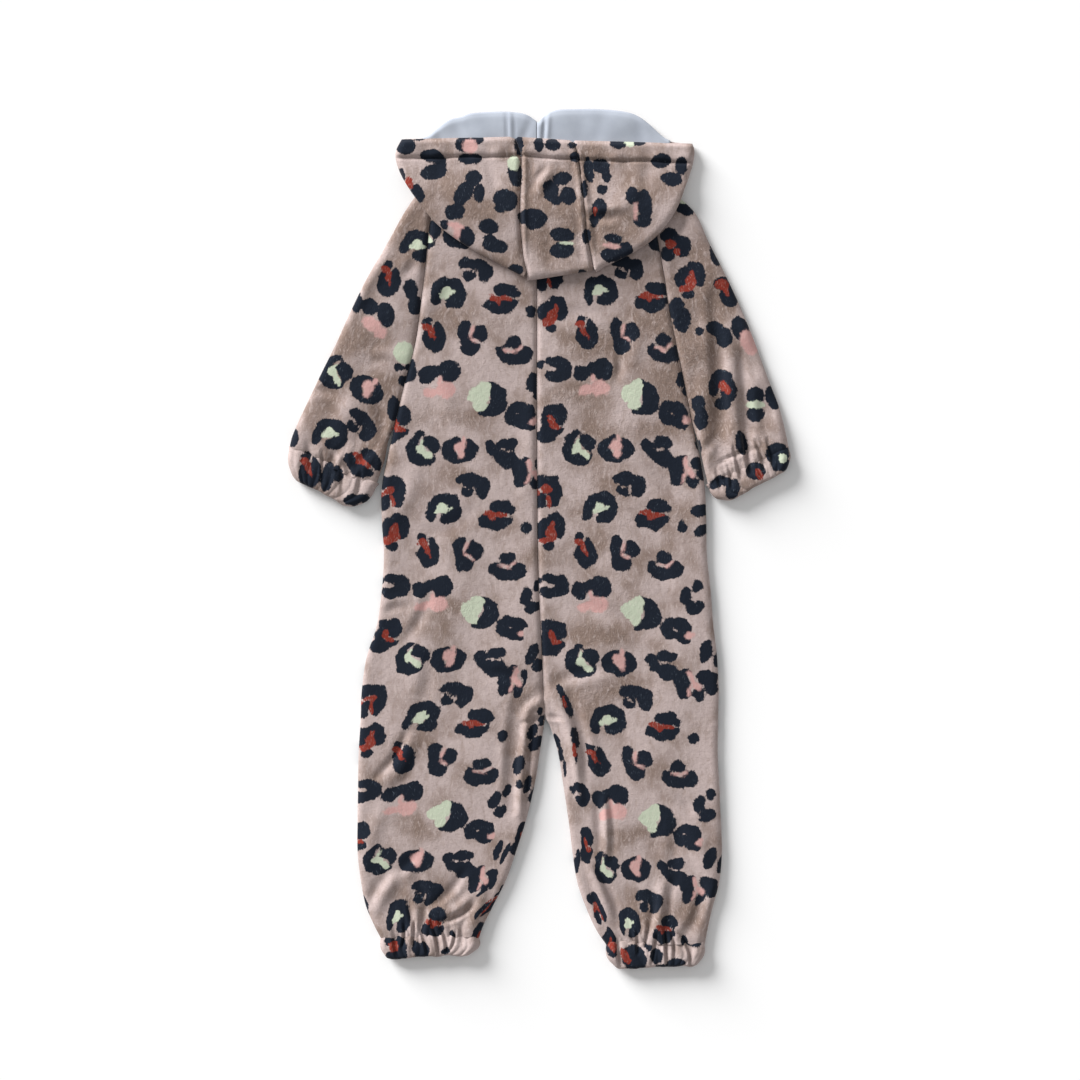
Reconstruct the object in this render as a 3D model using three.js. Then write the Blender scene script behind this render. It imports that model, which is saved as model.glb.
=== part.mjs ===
// A small child's hooded plush fleece onesie, laid flat and face down, with its hood flopped over the back.
// Millimetres. +X is the wearer's right, +Y runs to the hood, +Z is up, and the surface it lies on is Z 0.
import * as THREE from "three";

// Driving sizes
const WALL = 2.5; // plush fleece, pile and backing
const LINING_WALL = 1.2; // thin brushed jersey
const SEAM = 0.3; // clear gap between two pieces sewn together
const STACK = 8; // two layers of fleece pressed together
const HOOD_STACK = 8.6; // the hood's two layers
const ROLL = 7; // how far in a side starts to round away
const ROLL_STEPS = 3; // facets of that rounding, from flat to upright
const SEAM_SINK = 0.25; // share of the rounding that an edge takes at a flat seam
const UNDERARM_Y = 108; // where sleeve and side seam part
const CROTCH_Y = -164;
const GATHER_REACH = 38; // how far the gathers run up from a casing
const CASING_WALL = 4.4; // fleece turned double over elastic
const CASING_STACK = 11.5; // height of a gathered casing
const SEAM_STACK = 10; // height of sleeve and leg where the casing is sewn on
const FRONT_TOP_Y = 334; // neck edge of the front
const ZIP = { x: -3, top: 372, bottom: -76, width: 7.4, thick: 1.7, slider: 12 };
const SLOT = ZIP.width / 2 + SEAM; // half the opening that the zip fills

const FLEECE = 0xb8a39a;
const LINING = 0xb4bac6;
const ZIP_GREY = 0x8d8f96;

// Body sections from neck to ankle: side edges, then the centre seam or the two inseams
const BODY = [
  { y: 326, left: -98, inLeft: -3, inRight: -3, right: 103, dip: 0 },
  { y: 287, left: -103, inLeft: -3, inRight: -3, right: 108, dip: 0 },
  { y: 250, left: -107, inLeft: -3, inRight: -3, right: 114.5, dip: 0 },
  { y: 212, left: -111.5, inLeft: -3, inRight: -3, right: 120.5, dip: 0 },
  { y: 182, left: -116, inLeft: -3, inRight: -3, right: 126.5, dip: 0 },
  { y: 147, left: -125.5, inLeft: -3, inRight: -3, right: 134, dip: 0 },
  { y: 112, left: -134, inLeft: -3, inRight: -3, right: 140.5, dip: 0 },
  { y: 83, left: -140.5, inLeft: -3, inRight: -3, right: 147.5, dip: 0 },
  { y: 50, left: -147, inLeft: -2.5, inRight: -2.5, right: 153, dip: 0 },
  { y: 19, left: -147, inLeft: -2.5, inRight: -2.5, right: 154.5, dip: 0 },
  { y: -13, left: -145, inLeft: -2, inRight: -2, right: 155, dip: 0 },
  { y: -46, left: -147, inLeft: -1, inRight: -1, right: 158.5, dip: 0 },
  { y: -78, left: -151.5, inLeft: 0.5, inRight: 0.5, right: 161, dip: 0 },
  { y: -108, left: -161, inLeft: 2, inRight: 2, right: 164.5, dip: 0 },
  { y: -138, left: -165.5, inLeft: 3, inRight: 3, right: 166, dip: 0 },
  { y: -162, left: -166.5, inLeft: 4.5, inRight: 4.5, right: 165.5, dip: 0 },
  { y: -173, left: -167, inLeft: 3.5, inRight: 9.5, right: 165.5, dip: 0 },
  { y: -196, left: -168.5, inLeft: 0, inRight: 16.5, right: 165, dip: 0 },
  { y: -227, left: -169, inLeft: -5, inRight: 21.5, right: 166.5, dip: 0 },
  { y: -260, left: -169.5, inLeft: -13, inRight: 26.5, right: 168, dip: 0.5 },
  { y: -288, left: -169.5, inLeft: -22, inRight: 30, right: 169, dip: 1 },
  { y: -315, left: -166.5, inLeft: -31.5, inRight: 34.5, right: 166.5, dip: 2 },
  { y: -338, left: -162, inLeft: -43, inRight: 43, right: 160, dip: 3.5 },
  { y: -356, left: -154.5, inLeft: -52, inRight: 52, right: 155.5, dip: 5 },
  { y: -368.5, left: -148, inLeft: -56.5, inRight: 61.5, right: 153, dip: 6.5 },
];

// Sleeve sections from neck to wrist: the outer fold, then the height on the armhole and the gap to it
const SLEEVES = {
  left: [
    { foldX: -110.5, foldY: 327.5, seamY: 326, gap: SEAM },
    { foldX: -125.5, foldY: 306, seamY: 303, gap: SEAM },
    { foldX: -141.5, foldY: 277, seamY: 270.5, gap: SEAM },
    { foldX: -161, foldY: 243.5, seamY: 240, gap: SEAM },
    { foldX: -176, foldY: 213, seamY: 212, gap: SEAM },
    { foldX: -189.5, foldY: 183, seamY: 182, gap: SEAM },
    { foldX: -202.5, foldY: 157, seamY: 147, gap: SEAM },
    { foldX: -216.5, foldY: 127.5, seamY: 112, gap: SEAM },
    { foldX: -225, foldY: 109.5, seamY: 92, gap: 2.5 },
    { foldX: -230.5, foldY: 96, seamY: 72.5, gap: 2.2 },
    { foldX: -233, foldY: 84.5, seamY: 49.5, gap: 5.5 },
  ],
  right: [
    { foldX: 118, foldY: 327.5, seamY: 326, gap: SEAM },
    { foldX: 143, foldY: 306, seamY: 303, gap: SEAM },
    { foldX: 157, foldY: 277, seamY: 270.5, gap: SEAM },
    { foldX: 174, foldY: 243.5, seamY: 240, gap: SEAM },
    { foldX: 188, foldY: 213, seamY: 212, gap: SEAM },
    { foldX: 200, foldY: 183, seamY: 182, gap: SEAM },
    { foldX: 212, foldY: 150.5, seamY: 147, gap: SEAM },
    { foldX: 221, foldY: 127.5, seamY: 112, gap: SEAM },
    { foldX: 226, foldY: 109.5, seamY: 91, gap: 1.5 },
    { foldX: 229, foldY: 96.5, seamY: 70, gap: 1.8 },
    { foldX: 231, foldY: 85.5, seamY: 49.5, gap: 3.5 },
  ],
};

// Hood sections from rim to nape: outer edge, gusset seam, and the swell of the casing along the rim
const HOOD = {
  left: [
    { edgeX: -128.5, edgeY: 373, seamX: -24, seamY: 375.5, swell: -0.6 },
    { edgeX: -133.5, edgeY: 363.5, seamX: -20.5, seamY: 366.5, swell: 1 },
    { edgeX: -134, edgeY: 354.5, seamX: -17.5, seamY: 357, swell: -1 },
    { edgeX: -130, edgeY: 342, seamX: -17.5, seamY: 347, swell: 0 },
    { edgeX: -122, edgeY: 327.5, seamX: -18, seamY: 335.5, swell: 0 },
    { edgeX: -110.5, edgeY: 311.5, seamX: -18.5, seamY: 324.5, swell: 0 },
    { edgeX: -97.5, edgeY: 295.5, seamX: -19, seamY: 312.5, swell: 0 },
    { edgeX: -81, edgeY: 282, seamX: -19, seamY: 300.5, swell: 0 },
    { edgeX: -62.5, edgeY: 270, seamX: -18.5, seamY: 288.5, swell: 0 },
    { edgeX: -43.5, edgeY: 260, seamX: -17, seamY: 276, swell: 0 },
    { edgeX: -27, edgeY: 251, seamX: -15.5, seamY: 263, swell: 0 },
    { edgeX: -15, edgeY: 244.5, seamX: -12.5, seamY: 250, swell: 0 },
  ],
  right: [
    { edgeX: 141.5, edgeY: 369, seamX: 30.5, seamY: 372, swell: -0.6 },
    { edgeX: 143.5, edgeY: 362.5, seamX: 33.5, seamY: 363.5, swell: 1 },
    { edgeX: 142.5, edgeY: 352.5, seamX: 35.5, seamY: 354.5, swell: -1 },
    { edgeX: 139.5, edgeY: 341.5, seamX: 37, seamY: 345, swell: 0 },
    { edgeX: 134.5, edgeY: 327.5, seamX: 38.5, seamY: 335, swell: 0 },
    { edgeX: 129, edgeY: 312.5, seamX: 40, seamY: 323.5, swell: 0 },
    { edgeX: 120.5, edgeY: 297.5, seamX: 41, seamY: 311.5, swell: 0 },
    { edgeX: 108, edgeY: 282.5, seamX: 42, seamY: 299.5, swell: 0 },
    { edgeX: 93, edgeY: 271, seamX: 43, seamY: 288.5, swell: 0 },
    { edgeX: 74.5, edgeY: 261, seamX: 45, seamY: 276, swell: 0 },
    { edgeX: 60.5, edgeY: 254.5, seamX: 47.5, seamY: 264, swell: 0 },
    { edgeX: 52, edgeY: 249, seamX: 49.5, seamY: 254, swell: 0 },
  ],
};
const THROAT_ROWS = 5; // sections whose lower layer is the throat side; the rest lie on the nape side
const NECK_OPEN_FROM = 0.25; // share of the lower layer, from the hood's edge, that stays whole at the neck
const NAPE_FOLD_Y = 243; // where the gusset turns under
const GUSSET_SINK = 0.8; // groove along the gusset's seams

// Top edge of the hood's throat side, from the hood's outer tip to the zip
const THROAT_RIM = {
  left: [
    { x: -128.5, y: 373 },
    { x: -106, y: 375 },
    { x: -88, y: 391 },
    { x: -66, y: 396.5 },
    { x: -44, y: 398 },
    { x: -22, y: 394.5 },
    { x: -7, y: 390 },
  ],
  right: [
    { x: 141.5, y: 369 },
    { x: 116, y: 374 },
    { x: 98, y: 388 },
    { x: 76, y: 398 },
    { x: 46, y: 400.5 },
    { x: 18, y: 398 },
    { x: 1, y: 388 },
  ],
};
const THROAT_SEAM_Y = 341; // neck seam of the throat side
const LINING_END_Y = 352; // the lining's hidden lower edge

// Casings: the seam's two ends and the mouth's two ends, outer end first, and the gathers across the top
const CASINGS = {
  sleeve_cuff_left: { seam: [-233, 84.5, -152.5, 49.5], mouth: [-232.5, 60, -172, 31], gathers: 10 },
  sleeve_cuff_right: { seam: [231, 85.5, 156.5, 49.5], mouth: [232, 66.5, 175, 36.5], gathers: 9 },
  ankle_cuff_left: { seam: [-148, -368.5, -56.5, -368.5], mouth: [-145, -389.5, -61, -386.5], gathers: 11 },
  ankle_cuff_right: { seam: [153, -375, 61.5, -375], mouth: [149, -395.5, 66, -398], gathers: 11 },
};
const CASING_ROWS = [
  { along: 0, stack: SEAM_STACK },
  { along: 0.35, stack: CASING_STACK + 1 },
  { along: 0.75, stack: CASING_STACK + 0.5 },
  { along: 1, stack: CASING_STACK - 1.5 },
];

// Folds of the upper layer: from, to, half width, and rise above or below the cloth around
const BODY_FOLDS = [
  { x: -99, y: -55, toX: -119, toY: -84, half: 7, rise: -1.3 },
  { x: -99, y: -191, toX: -139, toY: -215, half: 8, rise: -1.6 },
  { x: -129, y: -309, toX: -151, toY: -335, half: 7, rise: -1.6 },
  { x: -14, y: -163, toX: -30, toY: -235, half: 7, rise: 1.6 },
  { x: -119, y: -341, toX: -111, toY: -357, half: 5, rise: -1.8 },
  { x: -79, y: -351, toX: -62, toY: -340, half: 6, rise: 1.6 },
  { x: 20, y: -175, toX: 28, toY: -213, half: 6, rise: -1.6 },
  { x: 60, y: -255, toX: 61, toY: -287, half: 7, rise: -1.3 },
  { x: 51, y: -321, toX: 63, toY: -363, half: 7, rise: -2 },
  { x: 5, y: -150, toX: -32, toY: -122, half: 7, rise: -1.2 },
  { x: 5, y: -150, toX: 42, toY: -124, half: 7, rise: -1.2 },
  { x: 74, y: 169, toX: 72, toY: 153, half: 6, rise: -1.2 },
  { x: 90, y: 199, toX: 83, toY: 160, half: 9, rise: 1.4 },
];
const SLEEVE_FOLDS = [
  { x: 162, y: 226, toX: 166, toY: 71, half: 9, rise: -1.8 },
  { x: 184, y: 173, toX: 196, toY: 85, half: 8, rise: -1.7 },
  { x: 174, y: 200, toX: 181, toY: 90, half: 8, rise: 1.2 },
  { x: -212, y: 141, toX: -187, toY: 133, half: 7, rise: -1.6 },
  { x: -150, y: 124, toX: -146, toY: 94, half: 7, rise: -1.5 },
  { x: -150, y: 262, toX: -176, toY: 205, half: 10, rise: 1.2 },
];
const HOOD_FOLDS = [
  { x: 0, y: 326, toX: 9, toY: 340, half: 6, rise: 1.3 },
  { x: 43, y: 310, toX: 76, toY: 310, half: 7, rise: 1 },
  { x: 46, y: 352, toX: 56, toY: 318, half: 6, rise: -1.3 },
  { x: -8, y: 352, toX: -9, toY: 262, half: 6, rise: 1.2 },
];

const { lerp, smoothstep } = THREE.MathUtils;

// Height that folds add at a point of the cloth
function foldRise(folds, x, y) {
  const point = new THREE.Vector3(x, y, 0);
  const nearest = new THREE.Vector3();
  return folds.reduce((sum, fold) => {
    const line = new THREE.Line3(new THREE.Vector3(fold.x, fold.y, 0), new THREE.Vector3(fold.toX, fold.toY, 0));
    line.closestPointToPoint(point, true, nearest);
    return sum + fold.rise * Math.exp(-((nearest.distanceTo(point) / fold.half) ** 2));
  }, 0);
}

// Uneven waves across a gathered seam, between -1 and 1
function gatherWave(share, count) {
  return Math.cos(2 * Math.PI * (count * share + 0.22 * Math.sin(7 * share + count)));
}

// Stations across a layer, from edge to edge: places on its outer and inner face, and its share of full height.
// An edge with roll 1 rounds down to the middle height, and one with roll 0 ends flat.
function stations(width, rollStart, rollEnd, flat, wall) {
  const radius = Math.min(ROLL, width * 0.4);
  const inset = Math.min(wall, radius * 0.6);
  const corner = (roll, step) => {
    const even = step / ROLL_STEPS;
    const turn = (even * Math.PI) / 2;
    const round = 1 - Math.cos(turn);
    return {
      outer: radius * lerp(even, round, roll),
      inner: lerp(radius * even, inset + (radius - inset) * round, roll),
      share: lerp(1, Math.sin(turn), roll),
    };
  };
  const list = [];
  for (let step = 0; step <= ROLL_STEPS; step++) list.push(corner(rollStart, step));
  for (let k = 1; k < flat; k++) {
    const place = lerp(radius, width - radius, k / flat);
    list.push({ outer: place, inner: place, share: 1 });
  }
  for (let step = ROLL_STEPS; step >= 0; step--) {
    const { outer, inner, share } = corner(rollEnd, step);
    list.push({ outer: width - outer, inner: width - inner, share });
  }
  return list;
}

// One row of a layer between two edge points. face gives the outer height at a point, or for the inner face the
// height it is offset from, and up is 1 for an upper layer and -1 for a lower one.
function layerRow({ from, to, rolls, mids, flat, wall, up, face, path }) {
  const start = new THREE.Vector2(...from);
  const end = new THREE.Vector2(...to);
  const width = start.distanceTo(end);
  return stations(width, rolls[0], rolls[1], flat, wall).map(({ outer, inner, share }) => {
    const place = (distance, sink) => {
      const along = distance / width;
      const flatPoint = path ? path(along) : start.clone().lerp(end, along);
      const mid = lerp(mids[0], mids[1], along);
      const height = face(flatPoint.x, flatPoint.y, along, sink > 0) - up * sink;
      return new THREE.Vector3(flatPoint.x, flatPoint.y, mid + (height - mid) * share);
    };
    return { outer: place(outer, 0), inner: place(inner, wall) };
  });
}

// A wall as one closed mesh through rows of outer and inner points. With loop each row closes on itself, and
// open tells which cells of the grid are left out.
function wallMesh(name, rows, color, { loop = false, open = () => false } = {}) {
  const rowCount = rows.length;
  const width = rows[0].length;
  const cells = loop ? width : width - 1;
  const points = rows.flat().flatMap(({ outer, inner }) => [outer, inner]);
  const index = (i, j, side) => (i * width + (j % width)) * 2 + side;
  const present = (i, j) => {
    if (i < 0 || i >= rowCount - 1) return false;
    if (!loop && (j < 0 || j >= cells)) return false;
    return !open(i, (j + cells) % cells);
  };
  const faces = [];
  for (let i = 0; i < rowCount - 1; i++) {
    for (let j = 0; j < cells; j++) {
      if (!present(i, j)) continue;
      const corners = [[i, j], [i, j + 1], [i + 1, j + 1], [i + 1, j]];
      const beyond = [[i - 1, j], [i, j + 1], [i + 1, j], [i, j - 1]];
      const [a, b, c, d] = corners.map(([r, k]) => index(r, k, 0));
      const [e, f, g, h] = corners.map(([r, k]) => index(r, k, 1));
      faces.push(a, b, c, a, c, d, e, g, f, e, h, g);
      beyond.forEach(([r, k], edge) => {
        if (present(r, k)) return;
        const [p, q] = [corners[edge], corners[(edge + 1) % 4]];
        const [p0, q0, p1, q1] = [index(...p, 0), index(...q, 0), index(...p, 1), index(...q, 1)];
        faces.push(q0, p0, p1, q0, p1, q1);
      });
    }
  }
  return solidMesh(name, points, faces, color);
}

// A mesh from points and triangles, with its faces turned to point out
function solidMesh(name, points, faces, color) {
  let volume = 0;
  for (let k = 0; k < faces.length; k += 3) {
    const [a, b, c] = [points[faces[k]], points[faces[k + 1]], points[faces[k + 2]]];
    volume += a.dot(b.clone().cross(c));
  }
  if (volume < 0) faces.reverse();
  const used = [...new Set(faces)];
  const renumber = new Map(used.map((old, at) => [old, at]));
  const geometry = new THREE.BufferGeometry();
  const places = new Float32Array(used.flatMap((old) => points[old].toArray()));
  geometry.setAttribute("position", new THREE.BufferAttribute(places, 3));
  geometry.setIndex(faces.map((old) => renumber.get(old)));
  geometry.computeVertexNormals();
  const mesh = new THREE.Mesh(geometry, new THREE.MeshStandardMaterial({ color, roughness: 0.95, metalness: 0 }));
  mesh.name = name;
  return mesh;
}

const MIDDLE = STACK / 2;
const halfSeam = SEAM / 2;
const pastUnderarm = (y) => smoothstep(-y, -UNDERARM_Y - 6, -UNDERARM_Y + 22);
const pastCrotch = (y) => smoothstep(-y, -CROTCH_Y - 10, -CROTCH_Y + 6);
const nearAnkle = (y) => smoothstep(-y, 368 - GATHER_REACH, 368);

// Back or front of one side, neck to ankle. A front is cut higher at the neck and leaves the slot for the zip.
function bodyPanel(name, side, up, flat) {
  const sign = side === "left" ? 1 : -1;
  const inner = side === "left" ? "inLeft" : "inRight";
  const kept = up > 0 ? BODY : BODY.filter((row, k) => row.y > 40 || nearAnkle(row.y) > 0 || k % 2 === 0);
  const sections = up > 0 ? kept : [{ ...BODY[0], y: FRONT_TOP_Y }, ...kept];
  const rows = sections.map((row) => {
    const y = row.y - (side === "right" ? row.dip : 0);
    const ankle = nearAnkle(y);
    const zipped = up < 0 && row.y > ZIP.bottom - SEAM - ZIP.thick - halfSeam;
    const centre = zipped ? ZIP.x - sign * SLOT : row[inner] - sign * halfSeam;
    return layerRow({
      from: [row[side], y],
      to: [centre, y],
      rolls: [lerp(SEAM_SINK, 1, pastUnderarm(y)), lerp(SEAM_SINK, 1, pastCrotch(y))],
      mids: [MIDDLE + up * halfSeam + ankle, MIDDLE + up * halfSeam + ankle],
      flat,
      wall: WALL + ankle,
      up,
      face: (x, py, along) => {
        if (up < 0) return 0;
        const gathers = 1.1 * ankle * gatherWave(along, 5);
        return lerp(STACK, SEAM_STACK, ankle) + foldRise(BODY_FOLDS, x, py) + gathers;
      },
    });
  });
  return wallMesh(name, rows, FLEECE);
}

// Side edge of the body at a height
function bodySide(side, y) {
  const below = BODY.findIndex((row) => row.y <= y);
  const [a, b] = [BODY[Math.max(below, 1) - 1], BODY[Math.max(below, 1)]];
  return lerp(b[side], a[side], (y - b.y) / (a.y - b.y));
}

// A sleeve is one piece: from the back armhole over the outer fold and back under to the front armhole
function sleeve(side) {
  const sign = side === "left" ? 1 : -1;
  const last = SLEEVES[side].length - 1;
  const rows = SLEEVES[side].map(({ foldX, foldY, seamY, gap }, k) => {
    const wrist = smoothstep(k, last - 3, last);
    const end = [bodySide(side, seamY) - sign * gap, seamY];
    const sink = lerp(SEAM_SINK, 1, pastUnderarm(seamY));
    const middle = MIDDLE + wrist;
    const shared = { wall: WALL + wrist };
    const upper = layerRow({
      ...shared,
      from: end,
      to: [foldX, foldY],
      rolls: [sink, 1],
      mids: [middle + halfSeam, middle],
      flat: 12,
      up: 1,
      face: (x, y, along) => {
        const gathers = 1.1 * wrist * gatherWave(along, 5);
        return lerp(STACK, SEAM_STACK, wrist) + foldRise(SLEEVE_FOLDS, x, y) + gathers;
      },
    });
    const lower = layerRow({
      ...shared,
      from: [foldX, foldY],
      to: end,
      rolls: [1, sink],
      mids: [middle, middle - halfSeam],
      flat: 4,
      up: -1,
      face: () => 0,
    });
    return [...upper, ...lower.slice(1)];
  });
  return wallMesh("sleeve_" + side, rows, FLEECE);
}

// A casing is a flattened tube over elastic, gathered across its top
function casing(name) {
  const { seam, mouth, gathers } = CASINGS[name];
  const rows = CASING_ROWS.map(({ along, stack }) => {
    const corner = (k) => lerp(seam[k], mouth[k], along);
    const start = new THREE.Vector2(corner(0), corner(1));
    const end = new THREE.Vector2(corner(2), corner(3));
    const outward = new THREE.Vector2(mouth[0] + mouth[2], mouth[1] + mouth[3])
      .sub(new THREE.Vector2(seam[0] + seam[2], seam[1] + seam[3]))
      .setLength(SEAM * (1 - along));
    start.add(outward);
    end.add(outward);
    const shared = { wall: CASING_WALL - (along === 0 ? 0.9 : 0), rolls: [1, 1], mids: [stack / 2, stack / 2] };
    const depth = along === 0 ? 1 : 1.3;
    const upper = layerRow({
      ...shared,
      from: start.toArray(),
      to: end.toArray(),
      flat: gathers * 4,
      up: 1,
      face: (x, y, share, inside) => stack + (inside ? 0 : depth * gatherWave(share, gathers)),
    });
    const lower = layerRow({ ...shared, from: end.toArray(), to: start.toArray(), flat: 5, up: -1, face: () => 0 });
    return [...upper, ...lower.slice(1, -1)];
  });
  return wallMesh(name, rows, FLEECE, { loop: true });
}

// Height of what the hood lies on: the body below the neck, and the bare surface past it
const hoodBase = (y) => (STACK + 0.4) * smoothstep(-y, -340, -330);

// Point along the throat side's top edge
function throatRim(side, along) {
  const rim = THROAT_RIM[side];
  const place = Math.min(along, 0.9999) * (rim.length - 1);
  const k = Math.floor(place);
  return new THREE.Vector2(lerp(rim[k].x, rim[k + 1].x, place - k), lerp(rim[k].y, rim[k + 1].y, place - k));
}

// Point of the throat side: down is 0 at its top edge and 1 at the neck seam, along runs from the tip to the zip
function throatPoint(side, edge, down, along) {
  const tip = throatRim(side, 0);
  const centre = throatRim(side, 1).x;
  const seam = new THREE.Vector2(lerp(tip.x, centre, along), THROAT_SEAM_Y);
  const point = throatRim(side, along).lerp(seam, down);
  const start = tip.lerp(new THREE.Vector2(tip.x, THROAT_SEAM_Y), down);
  return point.add(new THREE.Vector2(...edge).sub(start).multiplyScalar((1 - along) ** 3));
}

// A hood side is one piece: from the gusset seam to the outer edge, round it, and back under to the neck seam,
// which is the open slot between the throat rows and the nape rows
function hoodSide(side) {
  const sign = side === "left" ? 1 : -1;
  const upperFlat = 7;
  const lowerFlat = 4;
  const top = (swell) => (x, y) => hoodBase(y) + HOOD_STACK + swell + foldRise(HOOD_FOLDS, x, y);
  const rows = HOOD[side].map(({ edgeX, edgeY, seamX, seamY, swell }, k) => {
    const edge = [edgeX, edgeY];
    const seam = [seamX, seamY];
    const middle = hoodBase(edgeY) + HOOD_STACK / 2;
    const throat = k < THROAT_ROWS;
    const down = k / (THROAT_ROWS - 1);
    const zipSide = [ZIP.x - sign * SLOT, seamY];
    const upper = layerRow({
      from: seam,
      to: edge,
      rolls: [SEAM_SINK, 1],
      mids: [middle, middle],
      flat: upperFlat,
      wall: WALL,
      up: 1,
      face: top(swell),
    });
    const lower = layerRow({
      from: edge,
      to: throat ? zipSide : seam,
      rolls: [1, 0],
      mids: [middle, middle],
      flat: lowerFlat,
      wall: WALL,
      up: -1,
      face: (x, y) => hoodBase(y),
      path: throat ? (along) => throatPoint(side, edge, down, along) : undefined,
    });
    return [...upper, ...lower.slice(1)];
  });
  const upperCells = 2 * ROLL_STEPS + upperFlat;
  const lowerCells = 2 * ROLL_STEPS + lowerFlat;
  const open = (i, j) => i === THROAT_ROWS - 1 && j >= upperCells + NECK_OPEN_FROM * lowerCells;
  return wallMesh("hood_side_" + side, rows, FLEECE, { open });
}

// The gusset runs from the rim over the hood, turns under at its foot, and goes back to the nape
function hoodGusset() {
  const columns = 4;
  const rows = [];
  const seamPair = (k) => {
    const left = HOOD.left[k];
    const right = HOOD.right[k];
    return [new THREE.Vector2(left.seamX + SEAM, left.seamY), new THREE.Vector2(right.seamX - SEAM, right.seamY)];
  };
  const across = (k, place) => {
    const [left, right] = seamPair(k);
    const row = [];
    for (let c = 0; c <= columns; c++) row.push(place(left.clone().lerp(right, c / columns), c));
    rows.push(row);
  };
  const sinkAt = (c) => (c === 0 || c === columns ? GUSSET_SINK : 0);
  const last = HOOD.left.length - 1;
  for (let k = 0; k <= last; k++) {
    across(k, ({ x, y }, c) => {
      const height = hoodBase(y) + HOOD_STACK + HOOD.left[k].swell + foldRise(HOOD_FOLDS, x, y) - sinkAt(c);
      return { outer: new THREE.Vector3(x, y, height), inner: new THREE.Vector3(x, y, height - WALL) };
    });
  }
  const base = STACK + 0.4;
  const middle = base + HOOD_STACK / 2;
  for (let step = 1; step < 2 * ROLL_STEPS; step++) {
    const turn = (step / ROLL_STEPS - 1) * (Math.PI / 2);
    across(last, ({ x, y }) => {
      const reach = y - NAPE_FOLD_Y;
      const outY = y - reach * Math.cos(turn);
      const inY = y - (reach - WALL) * Math.cos(turn);
      const rise = -Math.sin(turn);
      return {
        outer: new THREE.Vector3(x, outY, middle + (HOOD_STACK / 2) * rise),
        inner: new THREE.Vector3(x, inY, middle + (HOOD_STACK / 2 - WALL) * rise),
      };
    });
  }
  for (let k = last; k >= THROAT_ROWS; k--) {
    across(k, ({ x, y }) => ({ outer: new THREE.Vector3(x, y, base), inner: new THREE.Vector3(x, y, base + WALL) }));
  }
  return wallMesh("hood_gusset", rows, FLEECE);
}

// The lining lies on the throat side and shows past the rim of the hood
function hoodLining(side) {
  const sign = side === "left" ? 1 : -1;
  const levels = [0, 0.25, 0.6, 1];
  const steps = 12;
  const from = 0.22;
  const floor = WALL + SEAM;
  const rows = levels.map((level) => {
    const row = [];
    for (let k = 0; k <= steps; k++) {
      const along = lerp(from, 1, k / steps);
      const rim = throatRim(side, along);
      const y = lerp(rim.y, LINING_END_Y, level);
      const x = k === steps ? ZIP.x - sign * halfSeam : rim.x;
      row.push({ outer: new THREE.Vector3(x, y, floor + LINING_WALL), inner: new THREE.Vector3(x, y, floor) });
    }
    return row;
  });
  return wallMesh("hood_lining_" + side, rows, LINING);
}

// A plain block between two heights, placed by its centre
function block(name, width, length, low, high, x, y, color) {
  const geometry = new THREE.BoxGeometry(width, length, high - low);
  const mesh = new THREE.Mesh(geometry, new THREE.MeshStandardMaterial({ color, roughness: 0.6, metalness: 0.1 }));
  mesh.position.set(x, y, (low + high) / 2);
  mesh.name = name;
  return mesh;
}

const onesie = new THREE.Group();
for (const side of ["left", "right"]) {
  onesie.add(bodyPanel("back_" + side, side, 1, 12));
  onesie.add(bodyPanel("front_" + side, side, -1, 4));
  onesie.add(sleeve(side));
  onesie.add(casing("sleeve_cuff_" + side));
  onesie.add(casing("ankle_cuff_" + side));
  onesie.add(hoodSide(side));
  onesie.add(hoodLining(side));
}
onesie.add(hoodGusset());

const tapeLength = ZIP.top - ZIP.slider - SEAM - ZIP.bottom;
onesie.add(block("zip_tape", ZIP.width, tapeLength, 0, ZIP.thick, ZIP.x, ZIP.bottom + tapeLength / 2, ZIP_GREY));
onesie.add(block("zip_slider", ZIP.width, ZIP.slider, 0, WALL, ZIP.x, ZIP.top - ZIP.slider / 2, ZIP_GREY));

export default onesie;
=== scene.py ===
import math

import bpy
import numpy as np
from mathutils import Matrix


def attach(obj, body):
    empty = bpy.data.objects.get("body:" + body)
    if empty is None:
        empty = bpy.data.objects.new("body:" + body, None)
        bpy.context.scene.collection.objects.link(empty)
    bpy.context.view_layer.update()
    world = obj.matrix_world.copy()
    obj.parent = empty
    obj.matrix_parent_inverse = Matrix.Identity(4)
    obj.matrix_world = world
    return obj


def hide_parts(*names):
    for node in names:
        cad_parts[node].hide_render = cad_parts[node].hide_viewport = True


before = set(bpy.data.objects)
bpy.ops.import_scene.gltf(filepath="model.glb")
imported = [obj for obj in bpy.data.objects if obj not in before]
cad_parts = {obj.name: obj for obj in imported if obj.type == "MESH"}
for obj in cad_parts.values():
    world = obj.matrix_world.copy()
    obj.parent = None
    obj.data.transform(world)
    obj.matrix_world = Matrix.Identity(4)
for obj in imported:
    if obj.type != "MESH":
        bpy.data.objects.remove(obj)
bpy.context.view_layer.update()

# A small child's hooded plush fleece onesie, laid flat and face down, with its hood flopped over the back.
# The tables are in millimetres and share the CAD's frame: +X is the wearer's right, +Y runs to the hood and
# +Z is up. Meshes are made in metres.


# Back panels, left and right: short brushed plush fleece on a knitted backing, printed with spots before it
# was cut. Each is one piece from neck to ankle. They are sewn together down the centre back, to the fronts at
# the sides and inseams, to the sleeves up the long armholes, and gathered into the ankle casings.
WALL = 2.5
SEAM = 0.3
STACK = 8.0
GATHERED_STACK = 10.0
UNDERARM_Y = 108.0
CROTCH_Y = -164.0
GATHER_REACH = 38.0
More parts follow.
